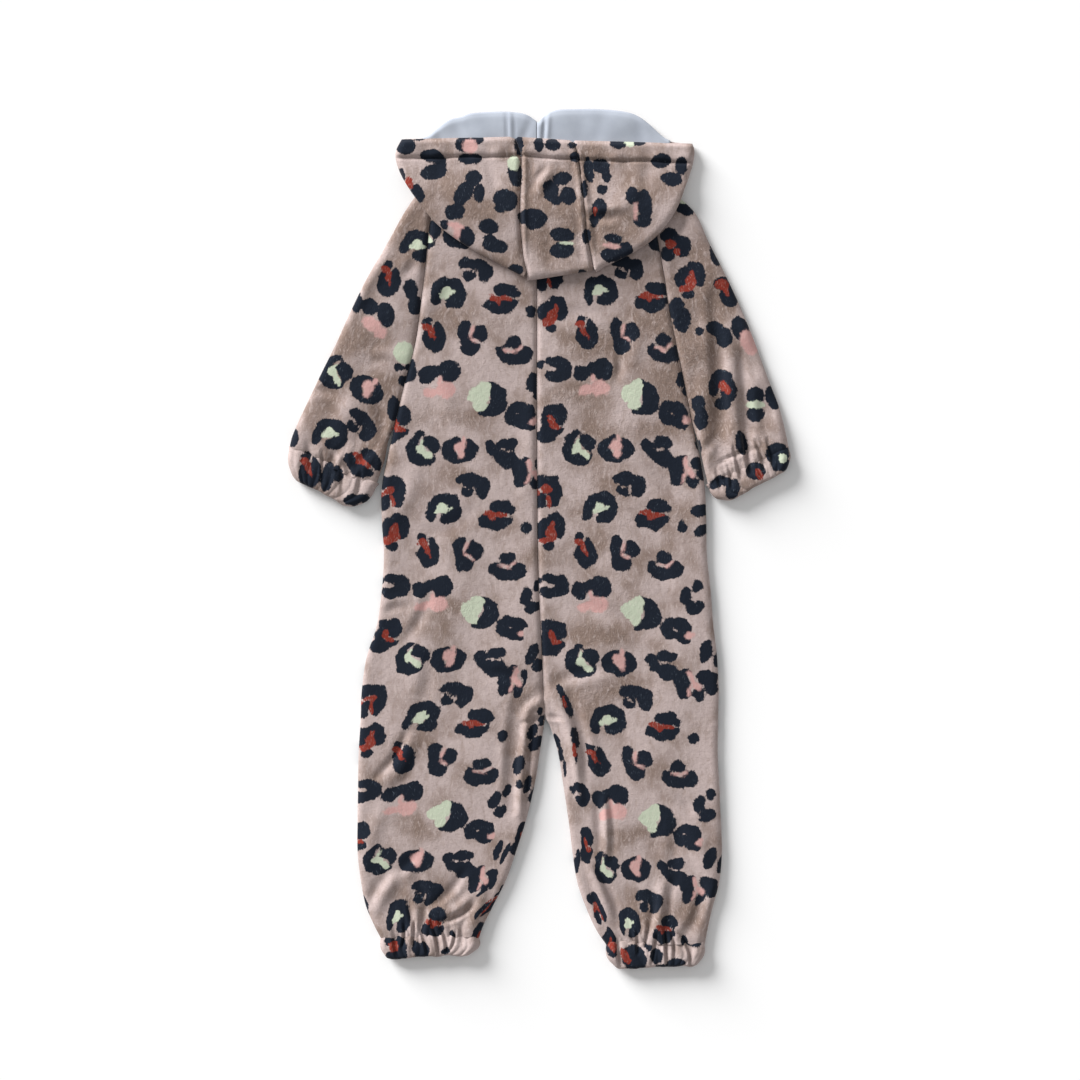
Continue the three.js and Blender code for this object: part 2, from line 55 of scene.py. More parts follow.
# y, left edge, left and right edge of the centre seam or inseams, right edge, and how much lower the right is
BODY = [
    (326, -98, -3, -3, 103, 0),
    (287, -103, -3, -3, 108, 0),
    (250, -107, -3, -3, 114.5, 0),
    (212, -111.5, -3, -3, 120.5, 0),
    (182, -116, -3, -3, 126.5, 0),
    (147, -125.5, -3, -3, 134, 0),
    (112, -134, -3, -3, 140.5, 0),
    (83, -140.5, -3, -3, 147.5, 0),
    (50, -147, -2.5, -2.5, 153, 0),
    (19, -147, -2.5, -2.5, 154.5, 0),
    (-13, -145, -2, -2, 155, 0),
    (-46, -147, -1, -1, 158.5, 0),
    (-78, -151.5, 0.5, 0.5, 161, 0),
    (-108, -161, 2, 2, 164.5, 0),
    (-138, -165.5, 3, 3, 166, 0),
    (-162, -166.5, 4.5, 4.5, 165.5, 0),
    (-173, -167, 3.5, 9.5, 165.5, 0),
    (-196, -168.5, 0, 16.5, 165, 0),
    (-227, -169, -5, 21.5, 166.5, 0),
    (-260, -169.5, -13, 26.5, 168, 0.5),
    (-288, -169.5, -22, 30, 169, 1),
    (-315, -166.5, -31.5, 34.5, 166.5, 2),
    (-338, -162, -43, 43, 160, 3.5),
    (-356, -154.5, -52, 52, 155.5, 5),
    (-368.5, -148, -56.5, 61.5, 153, 6.5),
]
# Folds: from, to, half width, rise above or below the cloth around, and sideways bow
BACK_FOLDS = [
    (-104, -55, -123.5, -90, 5, -2.0, 2),
    (-125.5, -61.5, -143, -66, 4, -1.6, -2),
    (-151.5, -218.5, -124.5, -178.5, 3.5, -3.0, -3),
    (-141.5, -225, -119, -189.5, 5, 2.2, -3),
    (-102.5, -112.5, -109, -149.5, 7, -1.8, 2),
    (-11, -155.5, -19.5, -252, 3.4, 4.2, -1.5),
    (1, -148, -15, -163, 4, 3.0, -1),
    (-22.5, -151.5, -29, -248.5, 4.5, -2.6, -1.5),
    (-7.5, -168.5, -13, -252, 2.4, -3.4, -1),
    (0, -163, -15, -168.5, 2, -3.0, 1),
    (10, -138.5, 37, -238, 4.6, 4.4, 7),
    (10, -168.5, 23, -231.5, 2.8, -3.4, 3),
    (5.5, -163, 18.5, -164.5, 2, -3.0, 0),
    (28, -142.5, 39, -228, 5, -3.0, 5),
    (43, -166.5, 50, -213, 5, 1.6, 2),
    (4.5, -138.5, 59.5, -118, 6, -1.6, 4),
    (-5.5, -138.5, -46.5, -122, 6, -1.6, -4),
    (54, -308, 72.5, -349, 3.2, -3.8, 2),
    (46.5, -304, 62.5, -347, 4.5, 3.2, 2),
    (59.5, -241, 61.5, -289, 3.6, 2.4, 1),
    (65, -241, 67, -295, 3, -1.8, 1),
    (52, -242.5, 54, -283.5, 4, -1.2, 1),
    (123, -319, 120, -365.5, 4, -3.4, -3),
    (111.5, -322.5, 107, -362, 4.5, 3.0, 2),
    (100.5, -362, 106, -338.5, 2.6, -2.4, -1),
    (130, -241, 141.5, -256, 5, -1.6, 1),
    (129.5, -265, 125.5, -308, 6, -1.6, -2),
    (149, -335.5, 134, -365.5, 4.5, -2.4, 2),
    (160, -315.5, 152.5, -348, 6, 2.0, 2),
    (-92, -353.5, -64, -339.5, 2.2, -3.6, -2.2),
    (-87.5, -346, -65, -331, 4, 3.0, -1.5),
    (-104, -340.5, -72.5, -309.5, 4, -2.4, -3),
    (-117, -359, -122, -337.5, 2.4, -3.0, 0),
    (-110.5, -359, -107, -339.5, 2.8, -2.6, -1),
    (-114, -357, -114.5, -341.5, 2.6, 2.2, 0),
    (-99.5, -343, -113.5, -313.5, 4.5, -1.6, 2),
    (-150.5, -338.5, -128.5, -308, 6, 2.6, 2),
    (-158, -335.5, -139.5, -308, 5, -2.2, 2),
    (-134, -317, -117, -293, 5, -2.0, 2),
    (-65, -357, -54, -324.5, 5, 2.2, -2),
    (74, 169, 72, 153, 4, -2.4, 1),
    (90, 199, 83, 160, 8, 2.0, 2),
    (-118, 60, -136, 20, 8, 1.6, 3),
    (120, -20, 148, -60, 8, 1.6, -4),
    (112, 60, 146, 28, 7, -1.5, -3),
    (-100, 160, -84, 120, 9, 1.4, 3),
    (-60, 30, -104, 6, 8, -1.1, 4),
    (40, -60, 96, -84, 8, -1.2, 4),
    (-146, -250, -160, -300, 7, 1.8, -3),
    (138, -262, 156, -318, 7, 1.8, 3),
    (-10, 120, -14, 40, 7, 1.0, 2),
    (-104, 219, -92, 240, 6, 1.4, 0),
    (10, 204, 60, 214, 7, -1.2, 3),
]
# Creases of the gathers, which run from the cloth through the casings: the same five sizes
GATHERS = [
    (-136, -360, -133, -385, 1.9, -2.1, 0),
    (-126.5, -356, -127.5, -375, 1.3, -3.4, 1),
    (-116, -352.5, -117, -375, 1.3, -3.6, -1),
    (-112.5, -358, -105, -382, 1.3, -3.4, 1),
    (-101.5, -354.5, -94, -385, 1.4, -4.4, 1.5),
    (-93, -356, -86.5, -382, 1.4, -4.2, 1.5),
    (-79, -363.5, -83.5, -380.5, 1.3, -3.1, 1),
    (-73.5, -358, -72.5, -375, 1.9, -1.8, 0),
    (-107, -358, -99.5, -383, 3, 1.8, 1),
    (-122, -362, -122, -382, 3.6, 1.6, 0),
    (-63, -362, -65, -382, 5, 1.4, 0),
    (71.5, -369, 74.5, -396, 1.8, -3.9, 0),
    (81, -367.5, 93, -377.5, 1.4, -2.6, 1),
    (90, -363.5, 91, -382, 1.4, -3.6, 0),
    (100.5, -358, 97.5, -375, 1.4, -3.4, 0),
    (108, -365.5, 104, -391.5, 1.4, -3.6, 0),
    (116, -363.5, 118, -395, 1.4, -4.7, 0),
    (122, -365.5, 124.5, -386, 1.4, -3.1, 1),
    (127.5, -363.5, 139.5, -393.5, 1.4, -4.4, 4),
    (97.5, -376.5, 102.5, -395, 3.2, 1.8, 0),
    (123, -373, 134, -391.5, 3.6, 2, 2),
    (65, -373, 66, -391.5, 4, 1.6, 0),
    (146, -371, 146, -388, 4, 1.4, 0),
    (-216, 88.5, -213, 73.5, 2.4, -1.6, 0),
    (-202.5, 83, -203.5, 55, 1.4, -3.1, 1),
    (-194.5, 79, -188, 64, 1.4, -2.3, 1),
    (-182.5, 75.5, -176.5, 60.5, 2.1, -3.4, 0),
    (-185, 68, -184, 45.5, 1.4, -1.8, 0),
    (-166.5, 62.5, -170, 43.5, 1.8, -2.3, 0),
    (-189.5, 73.5, -191.5, 51, 3, 1.4, 0),
    (-175, 62.5, -176.5, 42, 4, 1.4, 0),
    (-223, 88.5, -224, 66, 5, 1.2, 0),
    (163.5, 66, 167.5, 47.5, 1.6, -2.0, 0),
    (174, 71.5, 177.5, 50, 1.6, -2.8, 1),
    (154.5, 55, 184, 74.5, 3, 1.2, -2),
    (179.5, 86.5, 186, 58.5, 1.5, -3.9, 0),
    (189.5, 96, 194.5, 64, 1.9, -4.9, 0),
    (200, 92, 207.5, 66, 1.6, -3.6, 1),
    (211, 94, 216, 71.5, 1.6, -2.9, 0),
    (175, 75.5, 181.5, 56.5, 3, 1.8, 0),
    (195.5, 83, 202, 64, 3, 1.8, 0),
    (165.5, 71.5, 202.5, 85.5, 1.9, -3.1, 2.5),
    (223, 88.5, 227, 73.5, 4, 1.4, 0),
]
# Marks of one repeat of the print: ink, place in the repeat, half width, half height, turn to the left.
# A gap is bare cloth between the lobes of the mark that it is listed with.
CHART = {
    "open ring, green": [
        ("navy", 63, -11, 13.5, 9.3, 0),
        ("navy", 69, -18.5, 8.8, 10.7, 0),
        ("navy", 50, -20.5, 4.7, 7.9, -8),
        ("navy", 52.5, -11, 4.7, 6.5, -20),
        ("navy", 64, -26, 5.6, 3.7, 0),
        ("gap", 56.5, -24, 2.4, 4.7, -20),
        ("gap", 60.5, -16, 4.3, 4.7, 0),
        ("green", 60.5, -15.5, 4.7, 5, -20),
        ("green", 66.5, -15.5, 2.8, 1.5, 15),
        ("green", 56.5, -18.5, 3.2, 2.4, 30),
    ],
    "two halves, rust bar": [
        ("navy", 114.5, -14, 10.7, 6.1, -4),
        ("navy", 124.5, -17, 4.2, 3.3, -10),
        ("navy", 111.5, -28.5, 11.2, 7.8, 0),
        ("navy", 99.5, -27, 4.8, 5.6, 0),
        ("navy", 123, -26, 3.7, 2.8, 0),
        ("gap", 115.5, -21.5, 10.2, 1.3, -3),
        ("rust", 110.5, -21.5, 11.2, 2.1, -4),
        ("rust", 105, -20.5, 5.2, 2.8, -12),
        ("rust", 108, -24, 2.8, 2.8, 0),
    ],
    "dot": [
        ("navy", 138.5, -33.5, 4.7, 5.6, 12),
    ],
    "oval, rust wedge": [
        ("navy", 49, -58, 10.6, 13.5, 4),
        ("navy", 43, -43.5, 4.7, 4.7, 0),
        ("navy", 51, -47.5, 3.7, 4.7, 20),
        ("gap", 47.5, -44.5, 1.2, 4.2, -8),
        ("rust", 41.5, -47.5, 4.3, 3, 0),
        ("rust", 46, -52, 2.6, 6, 14),
        ("rust", 49, -57, 0.9, 3.7, 30),
    ],
    "three lobes, pink line": [
        ("navy", 78, -52.5, 7.1, 11.3, 4),
        ("navy", 82, -66, 9.1, 9.1, 0),
        ("navy", 91.5, -54, 6.9, 8.2, 14),
        ("gap", 84, -50, 1.8, 6, -18),
        ("gap", 87, -61, 5.2, 1.4, -32),
        ("pink", 84, -51.5, 1.2, 5, -18),
        ("pink", 86, -60.5, 4.3, 1, -32),
    ],
    "cup and cap": [
        ("navy", 122, -62, 7.4, 6, 0),
        ("navy", 111.5, -71.5, 5.6, 6.1, 0),
        ("navy", 123, -77.5, 13.6, 5.6, 0),
        ("navy", 132, -73, 7.4, 7.4, 0),
        ("gap", 119.5, -70, 6.5, 1.6, -14),
        ("gap", 128, -67.5, 3.9, 1.4, 34),
        ("pink", 119.5, -70, 5.6, 1.1, -14),
        ("pink", 127.5, -67.5, 3.3, 0.8, 34),
    ],
    "arrow": [
        ("navy", 3, -84.5, 4.7, 3.7, 0),
        ("navy", 16, -81.5, 7.4, 4.3, -4),
        ("navy", 25, -88.5, 8, 10.2, 0),
        ("navy", 15.5, -95.5, 9.3, 5.2, -8),
        ("gap", 12, -88, 7.4, 1.9, -4),
    ],
    "bow, pink below": [
        ("navy", 42, -93, 7.4, 8, -20),
        ("navy", 62.5, -89.5, 10, 10.4, 0),
        ("navy", 52, -89, 6.5, 5.6, 0),
        ("gap", 54, -97.5, 2.4, 4.3, 0),
        ("pink", 59.5, -106.5, 8.9, 7.3, 0),
        ("pink", 46, -108.5, 7.8, 4.3, 14),
        ("pink", 54, -98, 1.9, 4.3, 0),
    ],
    "crescent, green diamond": [
        ("navy", 103, -115.5, 13.5, 15.3, 8),
        ("navy", 95, -127.5, 5.6, 3.3, 20),
        ("navy", 99.5, -102, 4.1, 2.8, 0),
        ("gap", 90, -112.5, 11.5, 12.5, 0),
        ("green", 90.5, -111, 10.6, 8.4, 20),
        ("green", 95.5, -104, 6.1, 5.6, 0),
        ("green", 92, -120.5, 6, 6.1, 0),
    ],
    "pear": [
        ("navy", 129, -128, 14, 9.7, -4),
        ("navy", 134, -139.5, 8.4, 4.3, -14),
        ("navy", 122, -132.5, 7.1, 7.8, 0),
        ("gap", 142.5, -136, 5.2, 3, 20),
        ("gap", 127.5, -129.5, 2.8, 0.7, -35),
        ("pink", 140.5, -136, 4.1, 3, 20),
    ],
    "comma, rust": [
        ("navy", 19.5, -131, 8.2, 9.5, 0),
        ("navy", 11, -126.5, 5.6, 5.2, 0),
        ("navy", 8.5, -136.5, 5.6, 8.7, -14),
        ("navy", 7.5, -149.5, 9.7, 7.1, 0),
        ("navy", 16.5, -147, 8.7, 3.9, 18),
        ("gap", 21.5, -141, 4.7, 1.1, 10),
        ("rust", 13, -138, 2.8, 6.9, 14),
        ("rust", 16.5, -142.5, 5, 2.2, -8),
    ],
    "round, green slash": [
        ("navy", 33, -162, 10.2, 13, 0),
        ("navy", 36, -148.5, 4.3, 3.7, 30),
        ("navy", 40, -170, 10.7, 6.7, 6),
        ("navy", 45.5, -157, 9.3, 8, -14),
        ("gap", 36.5, -153, 1.4, 5.1, -30),
        ("gap", 40.5, -163, 9.3, 3, -34),
        ("green", 36, -161.5, 4.3, 3.9, -30),
        ("green", 43, -166.5, 6.3, 2.6, -36),
        ("green", 36.5, -155, 0.8, 3.7, -26),
    ],
    "ring, pink": [
        ("navy", 72.5, -162.5, 16.7, 12.3, -2),
        ("gap", 76, -151, 2.6, 4.3, 0),
        ("gap", 73, -161, 4.7, 5.6, 0),
        ("pink", 72.5, -159, 5.6, 5, 0),
        ("pink", 74.5, -165.5, 3.5, 4.1, 10),
        ("pink", 76, -153, 2.1, 3.7, 0),
    ],
    "chain": [
        ("navy", 101.5, -159, 5.6, 5.4, 0),
        ("navy", 107.5, -166, 8.4, 5.6, -38),
        ("navy", 118, -171, 10.2, 8.2, -10),
        ("navy", 117, -156.5, 8.9, 5.6, 0),
        ("navy", 135, -171, 3.7, 3, 0),
        ("navy", 130, -179.5, 7.3, 8.4, 0),
        ("navy", 132, -189.5, 6.9, 6.9, 0),
        ("gap", 114.5, -163, 7.4, 1.1, -4),
        ("gap", 138.5, -178.5, 2.6, 6.5, 8),
        ("pink", 138, -176, 2.2, 6, 10),
        ("pink", 143.5, -184, 5.6, 2.8, -42),
        ("pink", 137.5, -189, 1.4, 4.7, -10),
        ("navy", 153, -176, 10.2, 6.3, -6),
        ("navy", 157, -183.5, 6.5, 8.6, 0),
        ("navy", 145.5, -191.5, 5, 6.9, 10),
    ],
    "flower": [
        ("navy", 82.5, -189.5, 11.2, 6.1, -2),
        ("navy", 96, -197, 7.1, 9.7, -6),
        ("navy", 82, -200, 6.5, 5, -8),
        ("navy", 92, -190.5, 4.7, 3.7, 0),
        ("gap", 88.5, -199, 1.4, 4.2, 8),
        ("gap", 81, -196, 7.9, 1, -18),
    ],
    "double oval, rust": [
        ("navy", 3.5, -192.5, 5.6, 6, 0),
        ("navy", 13.5, -191, 7.1, 5.2, 0),
        ("navy", 18, -202.5, 7.4, 12.6, 0),
        ("navy", 5, -209, 7.1, 7.8, 0),
        ("gap", 4, -201.5, 7.1, 1.2, 10),
        ("gap", 12.5, -213, 1.3, 6.5, 16),
        ("rust", 10.5, -199, 5, 2.8, 0),
        ("rust", 2.5, -202.5, 3.3, 1.6, 30),
        ("rust", 13, -208.5, 1.7, 6.1, 18),
    ],
    "oval, rust triangle": [
        ("navy", 9, -35, 6.9, 9.9, -24),
        ("navy", 23.5, -33, 6.7, 11.2, 8),
        ("navy", 19, -25, 5.6, 4.1, 0),
        ("navy", 14.5, -51, 5.6, 4.3, 6),
        ("rust", 16.5, -40, 4.7, 6.9, 0),
        ("rust", 11.5, -45.5, 5.8, 3.2, 14),
        ("rust", 18, -33, 1.9, 4.5, 0),
    ],
    "split leaf": [
        ("navy", 140.5, -98.5, 6, 8.4, -15),
        ("navy", 151.5, -88.5, 4.3, 6, 0),
        ("navy", 148, -109.5, 8.6, 6, 32),
        ("gap", 149.5, -99.5, 2, 4.7, -20),
    ],
    "split oval": [
        ("navy", 153.5, -151.5, 6.1, 11.5, -18),
        ("navy", 167.5, -154.5, 4.5, 12.6, -25),
    ],
}
REPEAT = (177.0, 200.0)
CHART_X = {"left": -147.0, "right": -1.0}
CHART_Y = 247.4
# How far the print has drifted on each side: height, shift to the right, shift up, squeeze about the leg's middle
DRIFT = {
    "left": (
        (-400, -64.5, 20, -0.5),
        (-347, -64.5, 19.5, -0.5),
        (-325, -45, 22, 0),
        (-295, -40, 18, 0),
        (-250, -37, 11, 0),
        (-208, -29, 7.5, 0),
        (-168, -25.5, 4.7, 0),
        (-142, -19, 5.6, 0),
        (-108, -10, 5.6, 0),
        (-64, -7.4, 0.6, 0),
        (-20, -5.4, -1.4, 0),
        (27, -4.2, -1.6, 0),
        (85, 0, -0.8, 0),
    ),
    "right": (
        (-400, 15.7, 16, -0.5),
        (-358, 15.7, 14, -0.5),
        (-330, 16, 12.5, -0.2),
        (-300, 16, 10, -0.18),
        (-255, 13, 7.5, -0.08),
        (-205, 6.5, 4.7, 0.02),
        (-170, 3, 1.9, 0.02),
        (-110, 2, 2.2, 0),
        (-64, -3.9, 0, 0.01),
        (-27, -5.3, -0.6, 0),
        (15, -5.4, -1.2, 0),
        (57, -3.2, 0, 0),
        (87, -1, 0.3, 0),
        (142, -5, 1.2, -0.05),
        (190, -5.8, 1, -0.03),
    ),
}
LEG_MIDDLE = {"left": -95.0, "right": 95.0}
# Patches where the pile is darker: place, half width, half height, strength. Most are pile brushed the other way.
NAP_AND_SHADE = [
    (56, 182.5, 28, 18, 0.8),
    (107, 196, 26, 22, 0.9),
    (139.5, 168.5, 24, 60, 1.2),
    (149, 238, 26, 36, 0.9),
    (-74.5, 203.5, 40, 12, 0.6),
    (23, 136, 28, 14, 0.7),
    (-82, 115.5, 40, 10, 0.6),
    (-125.5, 294, 26, 34, 0.8),
    (-176.5, 182.5, 24, 22, 0.6),
    (-149, 94, 18, 26, 0.6),
    (93, 103, 26, 10, 0.7),
    (-65, 66, 30, 8, 0.4),
    (46.5, -90, 40, 14, 0.6),
    (-87.5, -62.5, 34, 12, 0.6),
    (56, -148, 34, 18, 0.8),
    (-18.5, -148, 18, 18, 0.7),
    (-107, -148, 14, 30, 0.5),
    (88.5, -138.5, 26, 12, 0.5),
    (-139.5, -185, 20, 10, 0.6),
    (93, -269, 30, 12, 0.5),
    (-111.5, -269, 34, 12, 0.4),
    (-102.5, -334, 34, 16, 0.8),
    (111.5, -338.5, 30, 18, 0.8),
    (18.5, 275.5, 26, 18, 0.9),
    (65, 284.5, 20, 14, 0.8),
    (42, 354.5, 16, 20, 0.8),
    (-56, 303, 24, 14, 0.5),
    (-102.5, 317, 14, 14, 0.5),
    (-14, 354.5, 8, 40, 0.5),
    (186, 94, 34, 20, 0.6),
    (-18.5, -17.5, 20, 16, 0.4),
    (130, 19.5, 20, 24, 0.5),
    # The broad, faint patches from here darken the hood, the sleeves and the right back as a whole; on the right
    # sleeve's inner half this is painted shade from its folds.
    (56, 317, 75, 60, 0.5),
    (-83.5, 317, 45, 60, 0.35),
    (0, 317, 30, 60, 0.3),
    (57.5, 66, 34, 110, 0.45),
    (-200, 131, 30, 80, 0.5),
    (-153.5, 168.5, 18, 80, 0.35),
    (163, 131, 30, 90, 0.5),
]
INKS = ("navy", "rust", "pink", "green")


def lerp(a, b, t):
    return a + (b - a) * t


def smooth(value, low, high):
    """0 below low, 1 above high, and a soft step between."""
    t = np.clip((value - low) / (high - low), 0, 1)
    return t * t * (3 - 2 * t)


def curve(table, step):
    """Rows about step apart on a smooth curve through a table's rows."""
    rows = np.array(table, float)
    fine = []
    for k in range(len(rows) - 1):
        a, b = rows[max(k - 1, 0)], rows[k]
        c, d = rows[k + 1], rows[min(k + 2, len(rows) - 1)]
        count = max(1, round(np.abs(c - b).max() / step))
        t = (np.arange(count) / count)[:, None]
        fine.append(b + ((c - a) * t + (2 * a - 5 * b + 4 * c - d) * t**2 + (3 * (b - c) + d - a) * t**3) / 2)
    return np.vstack(fine + [rows[-1:]])


def print_place(side, x, y):
    """Where points of a panel lie in the print's repeat."""
    height, right, up, squeeze = np.array(DRIFT[side]).T
    across, risen, narrowed = (np.interp(y, height, values) for values in (right, up, squeeze))
    rows = np.array(BODY)[::-1]
    sign = {"left": 1, "right": -1}[side]
    to_inseam = sign * (np.interp(y, rows[:, 0], rows[:, 2 if sign > 0 else 3]) - x)
    tucked = 20 * sign * np.exp(-((to_inseam / 15) ** 2)) * smooth(-y, -CROTCH_Y - 46, -CROTCH_Y - 4)
    u = x - CHART_X[side] - across - narrowed * (x - LEG_MIDDLE[side]) + tucked
    return u + 0.8 * ripple(x, y, 17, 21), y - CHART_Y - risen + 0.8 * ripple(x, y, 17, 22)


def brushed_back_and_shaded(x, y):
    """0 where the pile lies smooth, to 1 where it is brushed the other way; broad patches also darken whole pieces,
    as painted shade on the right sleeve's inner half.
    """
    spots = [deep * np.exp(-(((x - at_x) / a) ** 2) - ((y - at_y) / b) ** 2) for at_x, at_y, a, b, deep in NAP_AND_SHADE]
    return np.clip(sum(spots), 0, 1)


def ripple(x, y, size, seed):
    """Gentle uneven waves about size long."""
    draw = np.random.default_rng(seed)
    total = 0
    for _ in range(6):
        turn, phase = draw.uniform(0, 2 * math.pi, 2)
        wave = 2 * math.pi / (size * draw.uniform(0.7, 1.5))
        total = total + np.sin((x * math.cos(turn) + y * math.sin(turn)) * wave + phase)
    return total / 2.5


def folds(table, x, y):
    """Height that folds add: each is a soft trough or ridge that fades at its ends, with a fainter shoulder."""
    total = np.zeros_like(x)
    for x0, y0, x1, y1, half, rise, bow in table:
        length = math.hypot(x1 - x0, y1 - y0)
        along = ((x - x0) * (x1 - x0) + (y - y0) * (y1 - y0)) / length**2
        inside = np.clip(along, 0, 1)
        beyond = (along - inside) * length / (half * 1.4)
        side = ((x - x0) * (y1 - y0) - (y - y0) * (x1 - x0)) / length + bow * 4 * inside * (1 - inside)
        fade = np.exp(-(beyond**2)) * (0.45 + 0.55 * np.sin(math.pi * inside))
        across = np.exp(-((side / half) ** 2)) - 0.35 * np.exp(-(((side - 1.7 * half) / half) ** 2))
        total += rise * fade * across
    return 4.2 * np.tanh(total / 4.2)


def pleats(share, count):
    """Uneven gathers across a seam, from -1 in a sharp valley to 1 on a round ridge."""
    place = count * share + 0.22 * np.sin(7 * share + count)
    return 2 * np.abs(np.cos(math.pi * place)) ** 0.75 - 1


def gathers_above(share, distance, count):
    """Gathers that run up from a casing and fade, deeper in its middle than at its ends."""
    wander = share + 0.01 * np.sin(17 * share + distance / 9) + 0.02 * (distance / 30) * np.sin(23 * share)
    deep = 0.4 + 0.6 * smooth(share, 0.05, 0.35) * smooth(1 - share, 0.05, 0.3)
    return 1.1 * deep * np.exp(-distance / (7 + 12 * np.abs(np.sin(11 * share + 1)))) * pleats(wander, count)


def layer(start, end, rolls, mids, flat, wall, up, face, path=None, corner=8, groove=(0, 0)):
    """Outer and inner points of one layer, rows by stations across. An edge with roll 1 rounds down to the
    middle height, and one with roll 0 ends flat. A groove sinks that edge's last few millimetres."""
    count = len(start)
    column = lambda values: np.broadcast_to(np.asarray(values, float), count)[:, None]
    width = np.linalg.norm(end - start, axis=1)[:, None]
    radius = np.minimum(7, width * 0.4)
    wall = column(wall)
    inset = np.minimum(wall, radius * 0.6)
    even = np.linspace(0, 1, corner + 1)[None, :]
    round_in = 1 - np.cos(even * math.pi / 2)

    def edge(roll):
        roll = column(roll)
        outer = radius * lerp(even, round_in, roll)
        inner = lerp(radius * even, inset + (radius - inset) * round_in, roll)
        return outer, inner, lerp(1, np.sin(even * math.pi / 2), roll)

    first, last = edge(rolls[0]), edge(rolls[1])
    middle = lerp(radius, width - radius, (np.arange(1, flat) / flat)[None, :])
    ones = np.ones_like(middle)
    outer = np.hstack([first[0], middle, (width - last[0])[:, ::-1]])
    inner = np.hstack([first[1], middle, (width - last[1])[:, ::-1]])
    share = np.hstack([first[2], ones, last[2][:, ::-1]])
    faces = []
    for distance, sink in ((outer, 0), (inner, wall)):
        along = distance / width
        if path is None:
            flat_points = start[:, None] + (end - start)[:, None] * along[..., None]
        else:
            flat_points = path(along)
        x, y = flat_points[..., 0], flat_points[..., 1]
        mid = lerp(column(mids[0]), column(mids[1]), along)
        height = face(x, y, along, np.ndim(sink) > 0) - up * sink
        height = mid + (height - mid) * share
        seam = column(groove[0]) * np.exp(-((distance / 2) ** 2))
        seam = seam + column(groove[1]) * np.exp(-(((width - distance) / 2) ** 2))
        faces.append(np.dstack([x, y, height - up * seam]))
    return faces


def mark_distance(u, v, mark, repeat):
    """Distance from each point to one mark's edge, less than nothing inside it."""
    _, at_u, at_v, half_u, half_v, turn = mark
    du, dv = u - at_u, v - at_v
    if repeat:
        du = du - repeat[0] * np.round(du / repeat[0])
        dv = dv - repeat[1] * np.round(dv / repeat[1])
    c, s = math.cos(math.radians(turn)), math.sin(math.radians(turn))
    x, y = du * c + dv * s + 1e-4, dv * c - du * s
    near = np.hypot(x / half_u, y / half_v)
    return near * (near - 1) / np.hypot(x / half_u**2, y / half_v**2)


def printed(groups, u, v, repeat=None):
    """Distance from each point to the nearest edge of each ink, for groups of marks."""
    fields = {ink: np.full(u.shape, 30.0) for ink in INKS}
    for marks in groups:
        lobes = np.full(u.shape, 30.0)
        for mark in marks:
            distance = mark_distance(u, v, mark, repeat)
            if mark[0] == "navy":
                lobes = -1.2 * np.logaddexp(-lobes / 1.2, -distance / 1.2)
            elif mark[0] == "gap":
                lobes = np.maximum(lobes, -distance)
            else:
                fields[mark[0]] = np.minimum(fields[mark[0]], distance)
        fields["navy"] = np.minimum(fields["navy"], lobes)
    return {ink: np.clip(field, -15, 30) for ink, field in fields.items()}


def placed(table):
    """Groups of marks for a piece that isn't laid along the repeat: charted marks moved and turned, or loose ones."""
    groups = []
    for name, x, y, *rest in table:
        if name not in CHART:
            groups.append([(name, x, y, *rest)])
            continue
        marks = CHART[name]
        lobes = np.array([mark[1:3] for mark in marks if mark[0] == "navy"])
        at_u, at_v = (lobes.min(0) + lobes.max(0)) / 2
        turn = rest[0]
        c, s = math.cos(math.radians(turn)), math.sin(math.radians(turn))
        groups.append([
            (ink, x + (u - at_u) * c - (v - at_v) * s, y + (u - at_u) * s + (v - at_v) * c, a, b, own + turn)
            for ink, u, v, a, b, own in marks
        ])
    return groups


